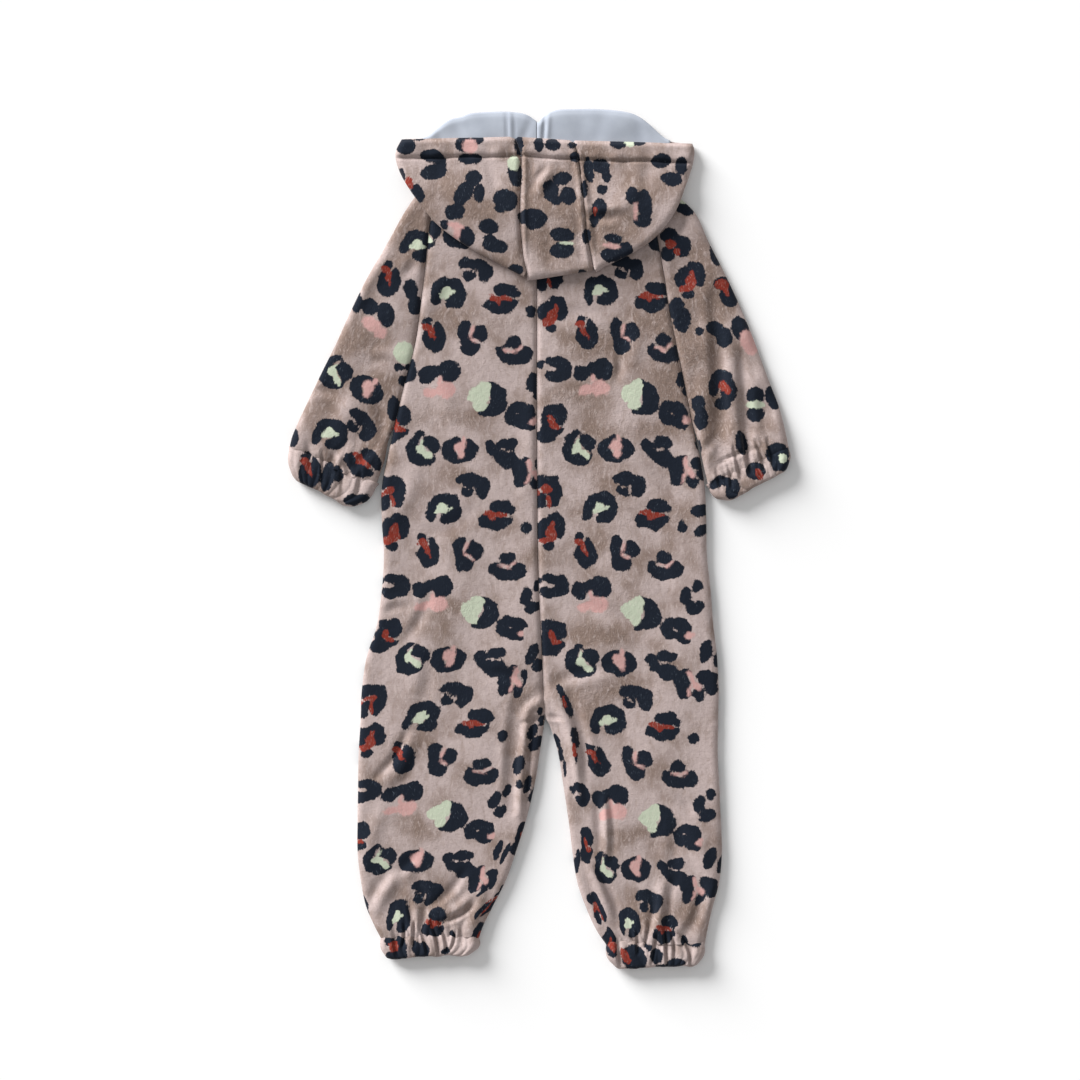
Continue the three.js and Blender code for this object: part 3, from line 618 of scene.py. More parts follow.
def shell(name, node, faces, material, cloth, inks=None, loop=False, left_out=None):
    """A closed shell through rows of outer and inner points, which stands for a CAD node."""
    outer, inner = faces
    rows, width = outer.shape[:2]
    points = np.stack([outer, inner], 2).reshape(-1, 3) * 0.001
    at = (np.arange(rows * width) * 2).reshape(rows, width)
    if loop:
        at = np.hstack([at, at[:, :1]])
    here = np.ones((rows - 1, at.shape[1] - 1), bool)
    if left_out is not None:
        here &= ~left_out
    corners = np.stack([at[:-1, :-1], at[:-1, 1:], at[1:, 1:], at[1:, :-1]], 2)
    quads = [corners[here], corners[here][:, ::-1] + 1]
    around = np.pad(here, 1, mode="wrap" if loop else "constant")
    around[0] = around[-1] = False
    beyond = (around[:-2, 1:-1], around[1:-1, 2:], around[2:, 1:-1], around[1:-1, :-2])
    for side in range(4):
        rim = corners[here & ~beyond[side]]
        p, q = rim[:, side], rim[:, (side + 1) % 4]
        quads.append(np.stack([q, p, p + 1, q + 1], 1))
    quads = np.vstack(quads)
    a, b, c, d = (points[quads[:, k]] for k in range(4))
    if np.einsum("ij,ij", a, np.cross(b, c) + np.cross(c, d)) < 0:
        quads = quads[:, ::-1]
    used, quads = np.unique(quads, return_inverse=True)
    mesh = bpy.data.meshes.new(name)
    mesh.from_pydata(points[used].tolist(), [], quads.reshape(-1, 4).tolist())
    fields = inks or {ink: np.full((rows, width), 30.0) for ink in INKS}
    for ink, field in fields.items():
        both = np.stack([field, np.full_like(field, 30.0)], 2).reshape(-1)[used]
        mesh.attributes.new(ink, "FLOAT", "POINT").data.foreach_set("value", both.astype(np.float32))
    # How much darker the pile is: brushed back, and broad patches that are painted shade on the right sleeve's inner
    # half
    nap_and_shade = brushed_back_and_shaded(outer[..., 0], outer[..., 1])
    both = np.stack([nap_and_shade, nap_and_shade * 0], 2).reshape(-1)[used]
    mesh.attributes.new("nap_and_shade", "FLOAT", "POINT").data.foreach_set("value", both.astype(np.float32))
    both = np.stack([cloth, cloth + (0, 0, 40)], 2).reshape(-1, 3)[used]
    mesh.attributes.new("cloth", "FLOAT_VECTOR", "POINT").data.foreach_set(
        "vector", both.astype(np.float32).reshape(-1))
    mesh.materials.append(material)
    mesh.shade_smooth()
    made = bpy.data.objects.new(name, mesh)
    bpy.context.collection.objects.link(made)
    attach(made, "root")
    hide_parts(node)
    return made


def cloth_points(points, turn=0, layer_at=0):
    """Coordinates in the cloth, in millimetres, with the way the pile lies along the second one."""
    c, s = math.cos(math.radians(turn)), math.sin(math.radians(turn))
    x, y = points[..., 0], points[..., 1]
    return np.dstack([x * c + y * s, y * c - x * s, np.full_like(x, layer_at)])


def colour(hex_value):
    """A colour as six hex digits of sRGB, made linear."""
    parts = [int(hex_value[k:k + 2], 16) / 255 for k in (0, 2, 4)]
    return [p / 12.92 if p <= 0.04045 else ((p + 0.055) / 1.055) ** 2.4 for p in parts] + [1]


def add(material, kind, inputs=(), **settings):
    """Adds a shader node with its settings and inputs. An input is a constant, or another node's output."""
    made = material.node_tree.nodes.new("ShaderNode" + kind)
    for key, value in settings.items():
        setattr(made, key, value)
    for key, value in dict(inputs).items():
        if isinstance(value, bpy.types.NodeSocket):
            material.node_tree.links.new(value, made.inputs[key])
        else:
            made.inputs[key].default_value = value
    return made


def new_material(name):
    material = bpy.data.materials.new(name)
    material.use_nodes = True
    material.node_tree.nodes.clear()
    return material


def maths(material, operation, a, b=0.0, c=0.0):
    return add(material, "Math", {0: a, 1: b, 2: c}, operation=operation).outputs[0]


def mixed(material, share, a, b):
    """A colour between a and b."""
    return add(material, "Mix", {0: share, 6: a, 7: b}, data_type="RGBA").outputs[2]


def step_between(material, value, low, high):
    return add(material, "MapRange", {0: value, 1: low, 2: high}, interpolation_type="SMOOTHSTEP").outputs[0]


def noise_at(material, place, scale, detail=2.0, roughness=0.5):
    return add(material, "TexNoise", {"Vector": place, "Scale": scale, "Detail": detail, "Roughness": roughness})


# Plush fleece: printed polyester pile about 3 mm long. Sizes in the shader are millimetres in the cloth.
fleece = new_material("printed plush fleece")
place = add(fleece, "Attribute", attribute_name="cloth").outputs["Vector"]
nap_and_shade = add(fleece, "Attribute", attribute_name="nap_and_shade").outputs["Fac"]
# The pile leans in tufts, so strands bend sideways over a few millimetres
lean = noise_at(fleece, place, 0.07, 2).outputs["Color"]
lean = add(fleece, "VectorMath", {0: lean, 1: (0.5, 0.5, 0.5)}, operation="SUBTRACT").outputs[0]
bent = add(fleece, "VectorMath", {0: lean, 1: (13, 8, 0), 2: place}, operation="MULTIPLY_ADD").outputs[0]


def streaks(material, along, across, detail, roughness):
    """Noise drawn out along the pile. The sizes are how many waves there are to a millimetre."""
    drawn = add(material, "VectorMath", {0: bent, 1: (across, along, 1)}, operation="MULTIPLY").outputs[0]
    return noise_at(material, drawn, 1.0, detail, roughness).outputs["Fac"]


strands = streaks(fleece, 0.22, 1.0, 3, 0.62)
locks = streaks(fleece, 0.07, 0.24, 3, 0.6)
cross_strands = streaks(fleece, 0.9, 0.3, 2, 0.6)
tufts = noise_at(fleece, place, 0.2, 3, 0.6).outputs["Fac"]
patches = noise_at(fleece, place, 0.03, 2, 0.5).outputs["Fac"]
brushed = noise_at(fleece, place, 0.05, 2, 0.5).outputs["Fac"]

# The ground and the dark hairs darken in noise patches and in the table's darker patches of pile. The broad patches
# darken the hood, sleeves and right back, and are painted shade on the right sleeve's inner half.
ground = mixed(fleece, step_between(fleece, maths(fleece, "MULTIPLY_ADD", nap_and_shade, 0.27, patches), 0.4, 0.78),
               colour("AE9E9B"), colour("7E6C63"))
ground = mixed(fleece, maths(fleece, "MULTIPLY", step_between(fleece, locks, 0.5, 0.72), 0.55),
               ground, colour("B9A9A5"))
ground = mixed(fleece, maths(fleece, "MULTIPLY", step_between(fleece, locks, 0.5, 0.3), 0.4),
               ground, colour("8C7A70"))
ground = mixed(fleece, maths(fleece, "MULTIPLY", step_between(fleece, strands, 0.52, 0.78), 0.8),
               ground, colour("C0B1AC"))
dark_hairs = maths(fleece, "MULTIPLY_ADD", nap_and_shade, 0.45, 0.4)
dark_hairs = maths(fleece, "MULTIPLY", step_between(fleece, cross_strands, 0.5, 0.78), dark_hairs)
shade = mixed(fleece, dark_hairs, ground, colour("75635A"))
# Ends of the pile carry each ink across its edge
fringe = maths(fleece, "MULTIPLY_ADD", strands, 3.6, -1.8)
fringe = maths(fleece, "MULTIPLY_ADD", tufts, 4.6, fringe)
fringe = maths(fleece, "SUBTRACT", fringe, 2.3)
# Ink, colour, how far it spreads, and how soft its edge is, in millimetres
for ink, hex_value, spread, softness in (
    ("navy", "111925", 0.25, 0.5),
    ("pink", "BC938F", 0.2, 1.4),
    ("green", "B4BCA7", 0.1, 0.6),
    ("rust", "7B2C21", 0.2, 0.6),
):
    field = add(fleece, "Attribute", attribute_name=ink).outputs["Fac"]
    edge = maths(fleece, "ADD", field, fringe)
    mask = step_between(fleece, edge, spread + softness, spread - softness)
    tone = colour(hex_value)
    if ink == "navy":
        stroke = step_between(fleece, strands, 0.58, 0.76)
        showing = maths(fleece, "MULTIPLY_ADD", nap_and_shade, 0.12, brushed)
        stroke = maths(fleece, "MULTIPLY", stroke, step_between(fleece, showing, 0.46, 0.66))
        tone = mixed(fleece, stroke, tone, colour("59636E"))
    else:
        pale = maths(fleece, "MULTIPLY", step_between(fleece, strands, 0.5, 0.75), 0.35)
        tone = mixed(fleece, pale, tone, colour("C6BAB2"))
    shade = mixed(fleece, mask, shade, tone)
pile = maths(fleece, "MULTIPLY_ADD", strands, 0.6, tufts)
pile = maths(fleece, "MULTIPLY_ADD", cross_strands, 0.3, pile)
pile = maths(fleece, "MULTIPLY_ADD", locks, 0.5, pile)
ruffled = maths(fleece, "MULTIPLY_ADD", nap_and_shade, 0.5, 0.4)
bump = add(fleece, "Bump", {"Height": pile, "Strength": ruffled, "Distance": 0.0009})
surface = add(fleece, "BsdfPrincipled", {
    "Base Color": shade,
    "Roughness": 0.92,
    "Specular IOR Level": 0.15,
    "Sheen Weight": 0.2,
    "Sheen Roughness": 0.45,
    "Sheen Tint": colour("E8DAD4"),
    "Normal": bump.outputs[0],
})
add(fleece, "OutputMaterial", {"Surface": surface.outputs[0]})

# Beside the inseams the cloth is drawn in by folds, and these marks take the repeat's place
INSEAM_MARKS = {
    "left": placed([
        ("navy", 0, -158, 2.6, 3.6, 0),
        ("navy", 1.5, -166.5, 2.6, 5, 0),
        ("navy", -7, -177, 4, 8, -25),
        ("navy", -4, -188, 5, 8.6, -48),
        ("navy", -20, -208, 5.4, 9.4, -25),
        ("navy", -19.5, -225.5, 3.2, 4, 0),
        ("navy", -11.5, -226, 3.4, 8.4, -18),
        ("navy", -6.5, -235.5, 3, 8, -25),
        ("navy", -7.5, -105, 5, 10.4, -25),
        ("navy", -2, -115.5, 5.6, 6.6, -45),
        ("navy", -15.5, -126.5, 3.6, 7.8, -8),
    ]),
    "right": placed([
        ("navy", 19.5, -140, 3, 8, 25),
        ("navy", 25.5, -153, 3.5, 11.5, 20),
        ("rust", 22.5, -149.5, 1.3, 5, 15),
        ("navy", 15.5, -185.5, 3, 6.6, 22),
        ("navy", 19.5, -198, 2.4, 6.6, 8),
        ("navy", 23, -211, 1.5, 8, 5),
        ("navy", 32.5, -182.5, 3.5, 9.6, 10),
        ("rust", 32, -194, 1.7, 6.6, 8),
        ("navy", 33.5, -201.5, 1.4, 5, 0),
    ]),
}
# More marks at the side edge, where the cloth is pulled round from the front
SIDE_MARKS = {
    "left": [],
    "right": placed([
        ("navy", 149, 28, 9.5, 5.4, 4),
        ("navy", 150.5, 10, 8.6, 4.8, 26),
    ]),
}
# Height, and how far from the middle the marks beside the inseam reach
INSEAM_REACH = {
    "left": [(-244, 0), (-243.5, 26), (-151, 26), (-150, 15), (-81, 15), (-80.5, 0)],
    "right": [(-221, 0), (-220.5, 38), (-129.5, 38), (-129, 0)],
}

body = curve(BODY, 2.2)
for side, sign, outer_column, inner_column in (("left", 1, 1, 2), ("right", -1, 4, 3)):
    y = body[:, 0] - (body[:, 5] if side == "right" else 0)
    ankle = smooth(-y, 368 - GATHER_REACH, 368)
    to_casing = (y - y[-1])[:, None]
    start = np.stack([body[:, outer_column], y], 1)
    end = np.stack([body[:, inner_column] - sign * SEAM / 2, y], 1)
    loose_side = smooth(-y, -UNDERARM_Y - 6, -UNDERARM_Y + 22)
    loose_inseam = smooth(-y, -CROTCH_Y - 10, -CROTCH_Y + 6)

    def back_height(x, py, along, inside):
        rise = lerp(STACK, GATHERED_STACK, ankle[:, None]) + 0.7 * ripple(x, py, 60, 3)
        rise += folds(BACK_FOLDS, x, py) + folds(GATHERS, x, py) + gathers_above(along, to_casing, 9)
        return rise - 1.1 * np.exp(-((to_casing / 4) ** 2))

    faces = layer(start, end, (lerp(0.3, 1, loose_side), lerp(0.3, 1, loose_inseam)),
                  (STACK / 2 + SEAM / 2 + ankle, STACK / 2 + SEAM / 2 + ankle), 92, WALL + ankle, 1, back_height,
                  groove=(1.2 * (1 - loose_side), 1.3 * (1 - loose_inseam)))
    across, up = faces[0][..., 0], faces[0][..., 1]
    fields = printed(CHART.values(), *print_place(side, across, up), REPEAT)
    beside_inseam = np.abs(across) < np.interp(up, *np.transpose(INSEAM_REACH[side]))
    drawn_in = printed(INSEAM_MARKS[side], across, up)
    pulled_round = printed(SIDE_MARKS[side], across, up)
    for ink in INKS:
        fields[ink] = np.minimum(np.where(beside_inseam, drawn_in[ink], fields[ink]), pulled_round[ink])
    made = shell("fleece_back_" + side, "back_" + side, faces, fleece, cloth_points(faces[0]), fields)


# Front panels, left and right: the same fleece, face down on the floor. Each is one piece from neck to ankle,
# cut higher at the neck, with the zip sewn between them from the neck to below the waist.
FRONT_TOP_Y = 334.0
ZIP_X = -3.0
ZIP_TOP = 372.0
ZIP_BOTTOM = -76.0
ZIP_WIDTH = 7.4
ZIP_THICK = 1.7
FRONT_FOLDS = [
    (-30, -150, -90, -110, 8, 0.9, 4),
    (30, -150, 88, -112, 8, 0.9, -4),
    (-96, -200, -140, -230, 7, 0.8, 3),
    (90, -210, 140, -236, 7, 0.8, -3),
    (-70, 60, -100, 10, 9, 0.7, 4),
    (70, 100, 104, 60, 9, 0.7, -4),
    (-80, -340, -90, -300, 6, 0.9, 2),
    (100, -346, 108, -300, 6, 0.9, -2),
]
SLOT = ZIP_WIDTH / 2 + SEAM
front = curve([(FRONT_TOP_Y, *BODY[0][1:])] + BODY, 3.4)
for side, sign, outer_column, inner_column in (("left", 1, 1, 2), ("right", -1, 4, 3)):
    y = front[:, 0] - (front[:, 5] if side == "right" else 0)
    ankle = smooth(-y, 368 - GATHER_REACH, 368)
    to_casing = (y - y[-1])[:, None]
    zipped = y > ZIP_BOTTOM - SEAM * 1.5 - ZIP_THICK
    start = np.stack([front[:, outer_column], y], 1)
    end = np.stack([np.where(zipped, ZIP_X - sign * SLOT, front[:, inner_column] - sign * SEAM / 2), y], 1)
    rolls = (lerp(0.25, 1, smooth(-y, -UNDERARM_Y - 6, -UNDERARM_Y + 22)),
             lerp(0.25, 1, smooth(-y, -CROTCH_Y - 10, -CROTCH_Y + 6)))

    def front_height(x, py, along, inside):
        lift = folds(FRONT_FOLDS, x, py) + 0.15 * ripple(x, py, 70, 8) + 0.15
        lift += 0.8 * np.exp(-to_casing / 16) * (1 + pleats(along, 9))
        return np.maximum(lift, 0)

    faces = layer(start, end, rolls, (STACK / 2 - SEAM / 2 + ankle, STACK / 2 - SEAM / 2 + ankle), 40, WALL + ankle,
                  -1, front_height, corner=6)
    u, v = print_place(side, -faces[0][..., 0], faces[0][..., 1] + 70)
    made = shell("fleece_front_" + side, "front_" + side, faces, fleece, cloth_points(faces[0], 0, 80),
                 printed(CHART.values(), u, v, REPEAT))


# Sleeves, left and right: the same fleece, each one piece wrapped round the arm, with its seam underneath the
# arm. The head is sewn into the long straight armhole, and the wrist is gathered into its casing.
# Outer fold x and y, height on the armhole, and the gap to the body's side
SLEEVES = {
    "left": [
        (-110.5, 327.5, 326, SEAM),
        (-125.5, 306, 303, SEAM),
        (-141.5, 277, 270.5, SEAM),
        (-161, 243.5, 240, SEAM),
        (-176, 213, 212, SEAM),
        (-189.5, 183, 182, SEAM),
        (-202.5, 157, 147, SEAM),
        (-216.5, 127.5, 112, SEAM),
        (-225, 109.5, 92, 2.5),
        (-230.5, 96, 72.5, 2.2),
        (-233, 84.5, 49.5, 5.5),
    ],
    "right": [
        (118, 327.5, 326, SEAM),
        (143, 306, 303, SEAM),
        (157, 277, 270.5, SEAM),
        (174, 243.5, 240, SEAM),
        (188, 213, 212, SEAM),
        (200, 183, 182, SEAM),
        (212, 150.5, 147, SEAM),
        (221, 127.5, 112, SEAM),
        (226, 109.5, 91, 1.5),
        (229, 96.5, 70, 1.8),
        (231, 85.5, 49.5, 3.5),
    ],
}
SLEEVE_FOLDS = [
    (160, 224, 165.5, 83, 5.5, -3.3, 2),
    (187, 172, 192.5, 79, 4, -3.5, -1),
    (175, 196, 179.5, 84.5, 5.5, 3.2, 0),
    (199, 142.5, 202.5, 84.5, 5, 2.6, 0),
    (149, 149.5, 151.5, 73.5, 5.5, 2.5, 1),
    (134, 300.5, 129.5, 285.5, 3.5, -2.1, 1),
    (149, 259.5, 160, 196, 9, 1.6, 2),
    (188, 109, 206.5, 92, 3.5, -1.9, 2),
    (-212, 141.5, -186, 133, 4.5, -2.1, 2),
    (-156, 174, -134, 170, 5, 1.4, 3),
    (-149.5, 123.5, -146, 94, 5.5, -2.3, 2),
    (-176.5, 131, -184, 94, 8, 1.4, -3),
    (-143, 263, -175, 205.5, 9, 1.6, -4),
    (-195.5, 68, -181.5, 88.5, 4, -2.1, 2),
    (-175, 62.5, -156, 84.5, 4, -1.9, 2),
    (-206.5, 75.5, -199, 94, 5, 1.8, 1),
    (-223, 83, -175, 68, 3.5, -1.6, -2),
    (-116, 259.5, -126.5, 246.5, 5, -1.6, 1),
    (-102.5, 259.5, -111.5, 196, 6, -1.2, 1),
    (149, 73.5, 160, 94, 4, -1.9, 2),
]
SLEEVE_MARKS = {
    "left": placed([
        ("open ring, green", -115.5, 272.5, -20),
        ("oval, rust wedge", -139.5, 247.5, -20),
        ("navy", -120, 233.5, 6.5, 9.5, 10),
        ("navy", -116, 218.5, 6.5, 9, 0),
        ("navy", -170, 221.5, 5, 10, 0),
        ("navy", -158, 217.5, 9, 7.5, -20),
        ("navy", -143, 210, 8, 11.5, 10),
        ("pink", -156, 201, 10, 6, -30),
        ("pink", -148, 193.5, 6, 5, 0),
        ("green", -126.5, 175, 9.5, 10.5, 0),
        ("arrow", -122, 153.5, -20),
        ("round, green slash", -189, 158, -26),
        ("ring, pink", -161, 140.5, -28),
        ("navy", -136, 123, 5.5, 12, 0),
        ("navy", -133, 96, 7, 11, -10),
        ("rust", -135, 101.5, 3.4, 6, -10),
        ("flower", -164.5, 107, -34),
        ("open ring, green", -197, 97.5, -10),
        ("navy", -229, 96, 5, 9, 0),
        ("two halves, rust bar", -163.5, 73.5, -38),
        ("oval, rust wedge", -214, 70, -10),
        ("navy", -197, 59.5, 6, 14, -12),
        ("navy", -188, 62.5, 5, 8, 10),
        ("navy", -174, 38, 8, 5.5, 0),
        ("navy", -163.5, 40, 5, 4, 0),
    ]),
    "right": placed([
        ("navy", 135, 309, 9, 6.5, -20),
        ("green", 133, 317, 6, 3.5, 0),
        ("navy", 120, 283.5, 8, 7, 0),
        ("navy", 132, 273.5, 8, 10, 0),
        ("navy", 119, 267, 7, 7, 0),
        ("rust", 121, 275.5, 5, 4, 0),
        ("rust", 127.5, 268, 3, 3.5, 0),
        ("navy", 163, 265, 5, 10, 16),
        ("oval, rust triangle", 139.5, 242, 0),
        ("navy", 169.5, 239, 8.5, 6.5, 0),
        ("navy", 176, 227, 9, 10, 20),
        ("rust", 168.5, 238, 6.5, 5, 0),
        ("rust", 173, 232.5, 2.4, 5, 20),
        ("navy", 126.5, 216, 7.5, 10, -14),
        ("navy", 132, 205.5, 8, 12, 0),
        ("navy", 148, 194.5, 4, 4, 0),
        ("navy", 163, 197, 9, 6.5, -20),
        ("navy", 171, 189, 7.5, 9, 0),
        ("navy", 186, 197, 8, 12, 20),
        ("pink", 194.5, 184, 8, 12, 24),
        ("navy", 168.5, 151.5, 10, 8, 0),
        ("navy", 175, 139.5, 7.5, 11.5, 0),
        ("navy", 161, 142.5, 5, 8.5, 0),
        ("navy", 169.5, 127.5, 8, 5.5, 0),
        ("rust", 170, 144, 4, 5, 10),
        ("rust", 174, 139.5, 2.5, 4, 10),
        ("navy", 147, 127.5, 6.5, 7.5, 0),
        ("navy", 149.5, 113.5, 6.5, 10.5, 0),
        ("navy", 144, 85.5, 6, 10, 0),
        ("navy", 200, 135, 8.5, 8, 0),
        ("navy", 200, 118, 8, 7.5, 0),
        ("green", 200, 126.5, 9, 3.6, 0),
        ("navy", 216, 133, 6.5, 11, 14),
        ("navy", 187, 91, 5.5, 11.5, 12),
        ("navy", 164.5, 54.5, 8.6, 4.6, 35),
        ("navy", 172.5, 55, 5, 4, 0),
        ("navy", 178.5, 48, 6.4, 9.6, -14),
        ("navy", 200, 65, 9, 8, 0),
        ("rust", 203.5, 62, 3, 5.6, 28),
        ("navy", 220.5, 81, 11, 10, 0),
        ("navy", 223, 71.5, 9, 7, 0),
        ("green", 225, 77, 3.6, 4.6, 20),
    ]),
}
body_y = body[::-1, 0]
sleeve_turn = {"left": -17, "right": 14}
for side, sign, column in (("left", 1, 1), ("right", -1, 4)):
    table = [(k, *row) for k, row in enumerate(SLEEVES[side])]
    k, fold_x, fold_y, seam_y, gap = curve(table, 2.2).T
    last = len(table) - 1
    wrist = smooth(k, last - 3, last)
    to_casing = ((last - k) * 17)[:, None]
    start = np.stack([np.interp(seam_y, body_y, body[::-1, column]) - sign * gap, seam_y], 1)
    end = np.stack([fold_x, fold_y], 1)
    loose = smooth(-seam_y, -UNDERARM_Y - 6, -UNDERARM_Y + 22)
    sink = lerp(0.3, 1, loose)
    middle = STACK / 2 + wrist

    def sleeve_height(x, py, along, inside):
        rise = lerp(STACK, GATHERED_STACK, wrist[:, None]) + 0.7 * ripple(x, py, 45, 5)
        rise += folds(SLEEVE_FOLDS, x, py) + folds(GATHERS, x, py) + 0.7 * gathers_above(1 - along, to_casing, 8)
        return rise - 1.1 * np.exp(-((to_casing / 4) ** 2))

    def under_height(x, py, along, inside):
        lift = 0.15 * ripple(x, py, 50, 6) + 0.1 + 0.7 * np.exp(-to_casing / 14) * (1 + pleats(along, 8))
        return np.maximum(lift, 0)

    upper = layer(start, end, (sink, 1), (middle + SEAM / 2, middle), 66, WALL + wrist, 1, sleeve_height,
                  groove=(1.2 * (1 - loose), 0))
    lower = layer(end, start, (1, sink), (middle, middle - SEAM / 2), 22, WALL + wrist, -1, under_height)
    faces = [np.hstack([a, b[:, 1:]]) for a, b in zip(upper, lower)]
    fields = printed(SLEEVE_MARKS[side], upper[0][..., 0], upper[0][..., 1])
    hidden = printed(CHART.values(), lower[0][..., 0] * 0.9 + 31, lower[0][..., 1] * 0.95 - 90, REPEAT)
    across = np.linspace(0, 1, lower[0].shape[1])
    for ink in INKS:
        seen = np.maximum(hidden[ink], 6 - 60 * across)[:, 1:]
        fields[ink] = np.hstack([fields[ink], seen])
    cloth = np.hstack([cloth_points(upper[0], sleeve_turn[side], 120),
                       cloth_points(lower[0], sleeve_turn[side], 160)[:, 1:]])
    made = shell("fleece_sleeve_" + side, "sleeve_" + side, faces, fleece, cloth, fields)


# Wrist and ankle casings: a strip of the same fleece turned double over elastic and sewn to the sleeve or leg.
# The elastic draws it in, so it stands in deep uneven gathers.
# Seam's ends, mouth's ends (outer end first), gathers across the top
CASINGS = {
    "sleeve_cuff_left": ((-233, 84.5, -152.5, 49.5), (-232.5, 59, -173.5, 25), 10),
    "sleeve_cuff_right": ((231, 85.5, 156.5, 49.5), (232, 66.5, 173.5, 31.5), 9),
    "ankle_cuff_left": ((-148, -368.5, -56.5, -368.5), (-145, -389.5, -61, -386.5), 11),
    "ankle_cuff_right": ((153, -375, 61.5, -375), (149, -395, 68, -400.5), 11),
}
CASING_PROFILE = [(-0.16, 8.3), (-0.07, 9.2), (0.02, 9.7), (0.15, 10.1), (0.4, 10.9), (0.75, 11.0), (0.92, 10.4), (1, 8.2)]
ANKLE_MARKS = placed([
    ("navy", -139.5, -371, 5, 5, 0),
    ("navy", -128.5, -377.5, 5, 13, 8),
    ("navy", -134, -386, 9, 6.5, 0),
    ("rust", -136, -376.5, 4.5, 5, 0),
    ("navy", -113.5, -379.5, 4.5, 9, 20),
    ("navy", -107, -379.5, 4, 8, 10),
    ("navy", -87.5, -380.5, 4, 3, 30),
    ("navy", -63, -362.5, 10, 5, 0),
    ("navy", 66, -377.5, 5, 9, 20),
    ("rust", 67, -374, 4, 7, 20),
    ("navy", 87.5, -387, 11, 13, 30),
    ("rust", 79, -385, 3.2, 8, 30),
    ("navy", 100.5, -375.5, 3, 5, 20),
    ("navy", 108, -385, 6, 7, 10),
    ("navy", 126.5, -391.5, 8, 5, 0),
    ("navy", 141.5, -372, 8, 4, -20),
    ("navy", 115.5, -395, 8, 2, 0),
])

CASING_WALL = 4.4
for node, (seam, mouth, gathers) in CASINGS.items():
    along, stack = curve([(100 * a, s) for a, s in CASING_PROFILE], 6).T
    along = along / 100
    ends = lerp(np.array(seam, float), np.array(mouth, float), along[:, None])
    outward = np.array([mouth[0] + mouth[2] - seam[0] - seam[2], mouth[1] + mouth[3] - seam[1] - seam[3]])
    outward_unit = outward / np.hypot(*outward)
    outward = outward_unit * SEAM * (1 - along)[:, None]
    start, end = ends[:, :2] + outward, ends[:, 2:] + outward
    # The casing bulges past its seam, and its corners are round
    late = np.clip((along - 0.45) / 0.55, 0, 1)
    inset = 10 * (1 - np.sqrt(1 - 0.98 * late**2)) - 1.8 * np.sin(math.pi * np.clip(along * 1.4, 0, 1))
    across = (end - start) / np.linalg.norm(end - start, axis=1)[:, None]
    start, end = start + 0.8 * across * inset[:, None], end - 1.3 * across * inset[:, None]
    wall = np.where(along < 0, CASING_WALL - 0.9, CASING_WALL)

    def casing_height(x, py, share, inside):
        if inside:
            return stack[:, None] + 0 * share
        wander = share + 0.01 * np.sin(17 * share - 4 * along[:, None])
        return stack[:, None] + folds(GATHERS, x, py) + 0.45 * pleats(wander, gathers)

    def casing_under(x, py, share, inside):
        return np.zeros_like(x) if inside else 0.5 + 0.5 * pleats(share, gathers)

    upper = layer(start, end, (1, 1), (stack / 2, stack / 2), gathers * 9, wall, 1, casing_height)
    lower = layer(end, start, (1, 1), (stack / 2, stack / 2), gathers * 5, wall, -1, casing_under)
    faces = [np.hstack([a, b[:, 1:-1]]) for a, b in zip(upper, lower)]
    # The mouth is drawn up in its middle and wavy
    for face in faces:
        from_ends = np.abs((face[..., 0] - ends[0, 0]) / (ends[0, 2] - ends[0, 0]) * 2 - 1)
        drawn = along[:, None] ** 2 * (2.2 * smooth(1 - from_ends, 0, 0.7) + 0.5 * ripple(face[..., 0], 0, 16, 9))
        face[..., :2] -= np.clip(drawn, 0, 4)[..., None] * outward_unit
    x, y = faces[0][..., 0], faces[0][..., 1]
    if node.startswith("sleeve"):
        fields = printed(SLEEVE_MARKS[node.rpartition("_")[2]], x, y)
    else:
        fields = printed(ANKLE_MARKS, x, y)
    made = shell("fleece_" + node, node, faces, fleece, cloth_points(faces[0], 0, 200), fields, loop=True)


# Hood sides, left and right: the same fleece, each one piece. It runs from the gusset seam over the side of the
# head to the flopped hood's outer edge, and back under to the throat, where it meets the neck and the zip. The
# rim is a casing: the edge turned over and stitched down about 17 mm in.
HOOD_STACK = 8.6
THROAT_LAST = 4
NECK_OPEN_FROM = 0.25
THROAT_SEAM_Y = 341.0
# Outer edge x and y, gusset seam x and y, from the rim to the nape
HOOD = {
    "left": [
        (-128.5, 373, -24, 375.5),
        (-133.5, 363.5, -20.5, 366.5),
        (-134, 354.5, -17.5, 357),
        (-130, 342, -17.5, 347),
        (-122, 327.5, -18, 335.5),
        (-110.5, 311.5, -18.5, 324.5),
        (-97.5, 295.5, -19, 312.5),
        (-81, 282, -19, 300.5),
        (-62.5, 270, -18.5, 288.5),
        (-43.5, 260, -17, 276),
        (-27, 251, -15.5, 263),
        (-15, 244.5, -12.5, 250),
    ],
    "right": [
        (141.5, 369, 30.5, 372),
        (143.5, 362.5, 33.5, 363.5),
        (142.5, 352.5, 35.5, 354.5),
        (139.5, 341.5, 37, 345),
        (134.5, 327.5, 38.5, 335),
        (129, 312.5, 40, 323.5),
        (120.5, 297.5, 41, 311.5),
        (108, 282.5, 42, 299.5),
        (93, 271, 43, 288.5),
        (74.5, 261, 45, 276),
        (60.5, 254.5, 47.5, 264),
        (52, 249, 49.5, 254),
    ],
}
